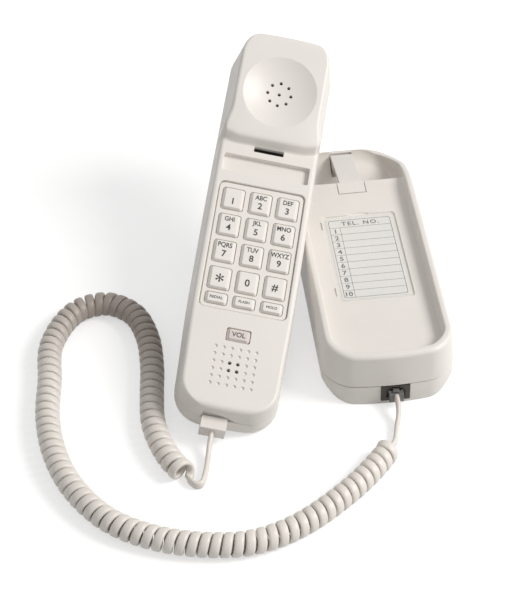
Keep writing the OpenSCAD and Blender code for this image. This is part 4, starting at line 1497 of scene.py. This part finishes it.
class PHONE_OT_keypad(bpy.types.Operator):
    """Panel, keys and their printing"""

    bl_idname = "phone.keypad"
    bl_label = "Keypad"

    def execute(self, context):
        sizes = context.scene.phone_keys
        panel = bmesh.new()
        rings = [(-0.4, -3.6), (-0.4, -2.3), (0.45, -2.3), (0.45, -1.3), (0.75, -1.0)]
        skin(panel, [at(rounded(46 - 2 * i, PANEL_LONG - 2 * i, 3, y=PANEL_Y), z) for i, z in rings])
        panel = loose("keypad_panel", panel)
        windows = bmesh.new()
        spots = [(*digit_place(k), KEY_LONG) for k in range(12)]
        spots += [((k - 1) * KEY_STEP_X, FUNCTION_Y, FUNCTION_LONG) for k in range(3)]
        for x, y, long in spots:
            sunk(
                windows, lambda o: rounded(KEY_WIDE + 0.6 + 2 * o, long + 0.6 + 2 * o, 1.6 + o, 6, x, y),
                3.5, 0.12, 0.05, -1.0,
            )
        carve(panel, windows)
        complete(panel, "handset", "shell", ("keypad_frame",), HANDSET_PLACE)

        digit, letters, words = (value / MM for value in (sizes.digit, sizes.letters, sizes.words))
        for k, (name, sign, above) in enumerate(DIGITS):
            x, y = digit_place(k)
            key_cap(name, x, y, KEY_WIDE, KEY_LONG, 0.4, -3.6, sizes, "keys")
            low = y - 1.9 if sign not in "*0#" else y - 0.5
            size = digit * {"*": 2.1, "0": 1.1, "#": 1.15}.get(sign, 1.0)
            legend = [(sign, size, x, low, 0.11, 0.94)]
            if above:
                legend.append((above, letters, x, y + 3.1, 0.085, 0.84))
            key_print(name, legend, 0.4)
        for k, (name, word) in enumerate(FUNCTIONS):
            x = (k - 1) * KEY_STEP_X
            key_cap(name, x, FUNCTION_Y, KEY_WIDE, FUNCTION_LONG, 0.4, -3.6, sizes, "keys")
            key_print(name, [(word, words, x, FUNCTION_Y, 0.05, 1.0)], 0.4)
        key_cap("key_volume", 0, VOLUME_Y, 12, 7, 0.8, -2.2, sizes, "volume")
        key_print("key_volume", [("VOL", letters, 0, VOLUME_Y, 0.06, 0.95)], 0.8)
        return {"FINISHED"}


# ---------- parts inside and underneath ----------

INSIDE = {
    "board": ("base_board", "handset_board"),
    "brass": ("ringer",),
    "black": (
        "hook_switch", "microphone_boot", "microphone_capsule", "receiver_gasket", "receiver_capsule",
    ),
    "steel": ("hook_pin", "hook_spring", "base_weight"),
    "rubber": ("keypad_mat",),
}


FOOT_SIDE = [(0, 0), (4.3, 0), (4.75, 0.2), (5.0, 0.6), (5.0, 1.2), (0, 1.2)]


class PHONE_OT_inside(bpy.types.Operator):
    """Finishes of the boards, capsules, springs, screws and feet, and the shaped screws and feet"""

    bl_idname = "phone.inside"
    bl_label = "Inner parts"

    def execute(self, context):
        for finish, names in INSIDE.items():
            for name in names:
                self.dress(name, finish)
        for k, (x, y) in enumerate(FEET):
            piece = loose(f"foot_{k + 1}", turned(bmesh.new(), FOOT_SIDE, 40, x, y))
            complete(piece, "base", "rubber", (f"base_foot_{k + 1}",))
        for k, (x, y) in enumerate(BASE_SCREWS):
            self.screw(f"screw_base_{k + 1}", x, y, 3.4, 17.0, "base", f"base_screw_{k + 1}", None)
        for k, (x, y, seat) in enumerate(HANDSET_SCREWS):
            name, node = f"screw_handset_{k + 1}", f"handset_screw_{k + 1}"
            self.screw(name, x, y, seat, -6.5, "handset", node, HANDSET_PLACE)
        return {"FINISHED"}

    @staticmethod
    def dress(name, finish):
        """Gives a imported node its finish"""
        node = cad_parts[name]
        if node.material_slots:
            for socket in node.material_slots:
                socket.link = "OBJECT"
                socket.material = finish_of(finish)
        else:
            node.data.materials.append(finish_of(finish))

    @staticmethod
    def screw(name, x, y, seat, tip, body, node, place):
        """Pan-head screw with a cross recess"""
        head = [(0, seat - 1.8), (1.6, seat - 1.75), (2.4, seat - 1.4), (2.75, seat - 0.7), (2.8, seat)]
        shank = [(1.42, seat), (1.42, tip - 1.0), (0.7, tip), (0, tip)]
        piece = loose(name, turned(bmesh.new(), head + shank, 28, x, y))
        cross = block(bmesh.new(), x - 1.6, x + 1.6, y - 0.35, y + 0.35, seat - 2, seat - 0.9)
        carve(piece, cross)
        carve(piece, block(bmesh.new(), x - 0.35, x + 0.35, y - 1.6, y + 1.6, seat - 2, seat - 0.9))
        complete(piece, body, "steel", (node,), place)


# ---------- panel and running ----------

STEPS = (
    PHONE_OT_camera,
    PHONE_OT_plugs,
    PHONE_OT_cord,
    PHONE_OT_housing,
    PHONE_OT_card,
    PHONE_OT_hook,
    PHONE_OT_handset,
    PHONE_OT_keypad,
    PHONE_OT_inside,
    PHONE_OT_stage,
)
GROUPS = {
    "phone_base": PhoneBaseSizes,
    "phone_handset": PhoneHandsetSizes,
    "phone_keys": PhoneKeySizes,
    "phone_cord": PhoneCordSizes,
    "phone_colours": PhoneColours,
}


class PHONE_PT_panel(bpy.types.Panel):
    """Lists the telephone's pieces in the sidebar"""

    bl_idname = "PHONE_PT_panel"
    bl_label = "Telephone"
    bl_space_type = "VIEW_3D"
    bl_region_type = "UI"
    bl_category = "Telephone"

    def draw(self, context):
        for step in STEPS:
            self.layout.operator(step.bl_idname)
        for name, group in GROUPS.items():
            box = self.layout.box()
            for key in group.__annotations__:
                box.prop(getattr(context.scene, name), key)


def register():
    for kind in (*GROUPS.values(), *STEPS, PHONE_PT_panel):
        bpy.utils.register_class(kind)
    for name, group in GROUPS.items():
        setattr(bpy.types.Scene, name, bpy.props.PointerProperty(type=group))


def unregister():
    for name in GROUPS:
        delattr(bpy.types.Scene, name)
    for kind in (PHONE_PT_panel, *reversed(STEPS), *GROUPS.values()):
        bpy.utils.unregister_class(kind)


def main():
    """Makes every piece in order"""
    register()
    for step in STEPS:
        group, name = step.bl_idname.split(".")
        getattr(getattr(bpy.ops, group), name)()


if __name__ == "__main__":
    main()
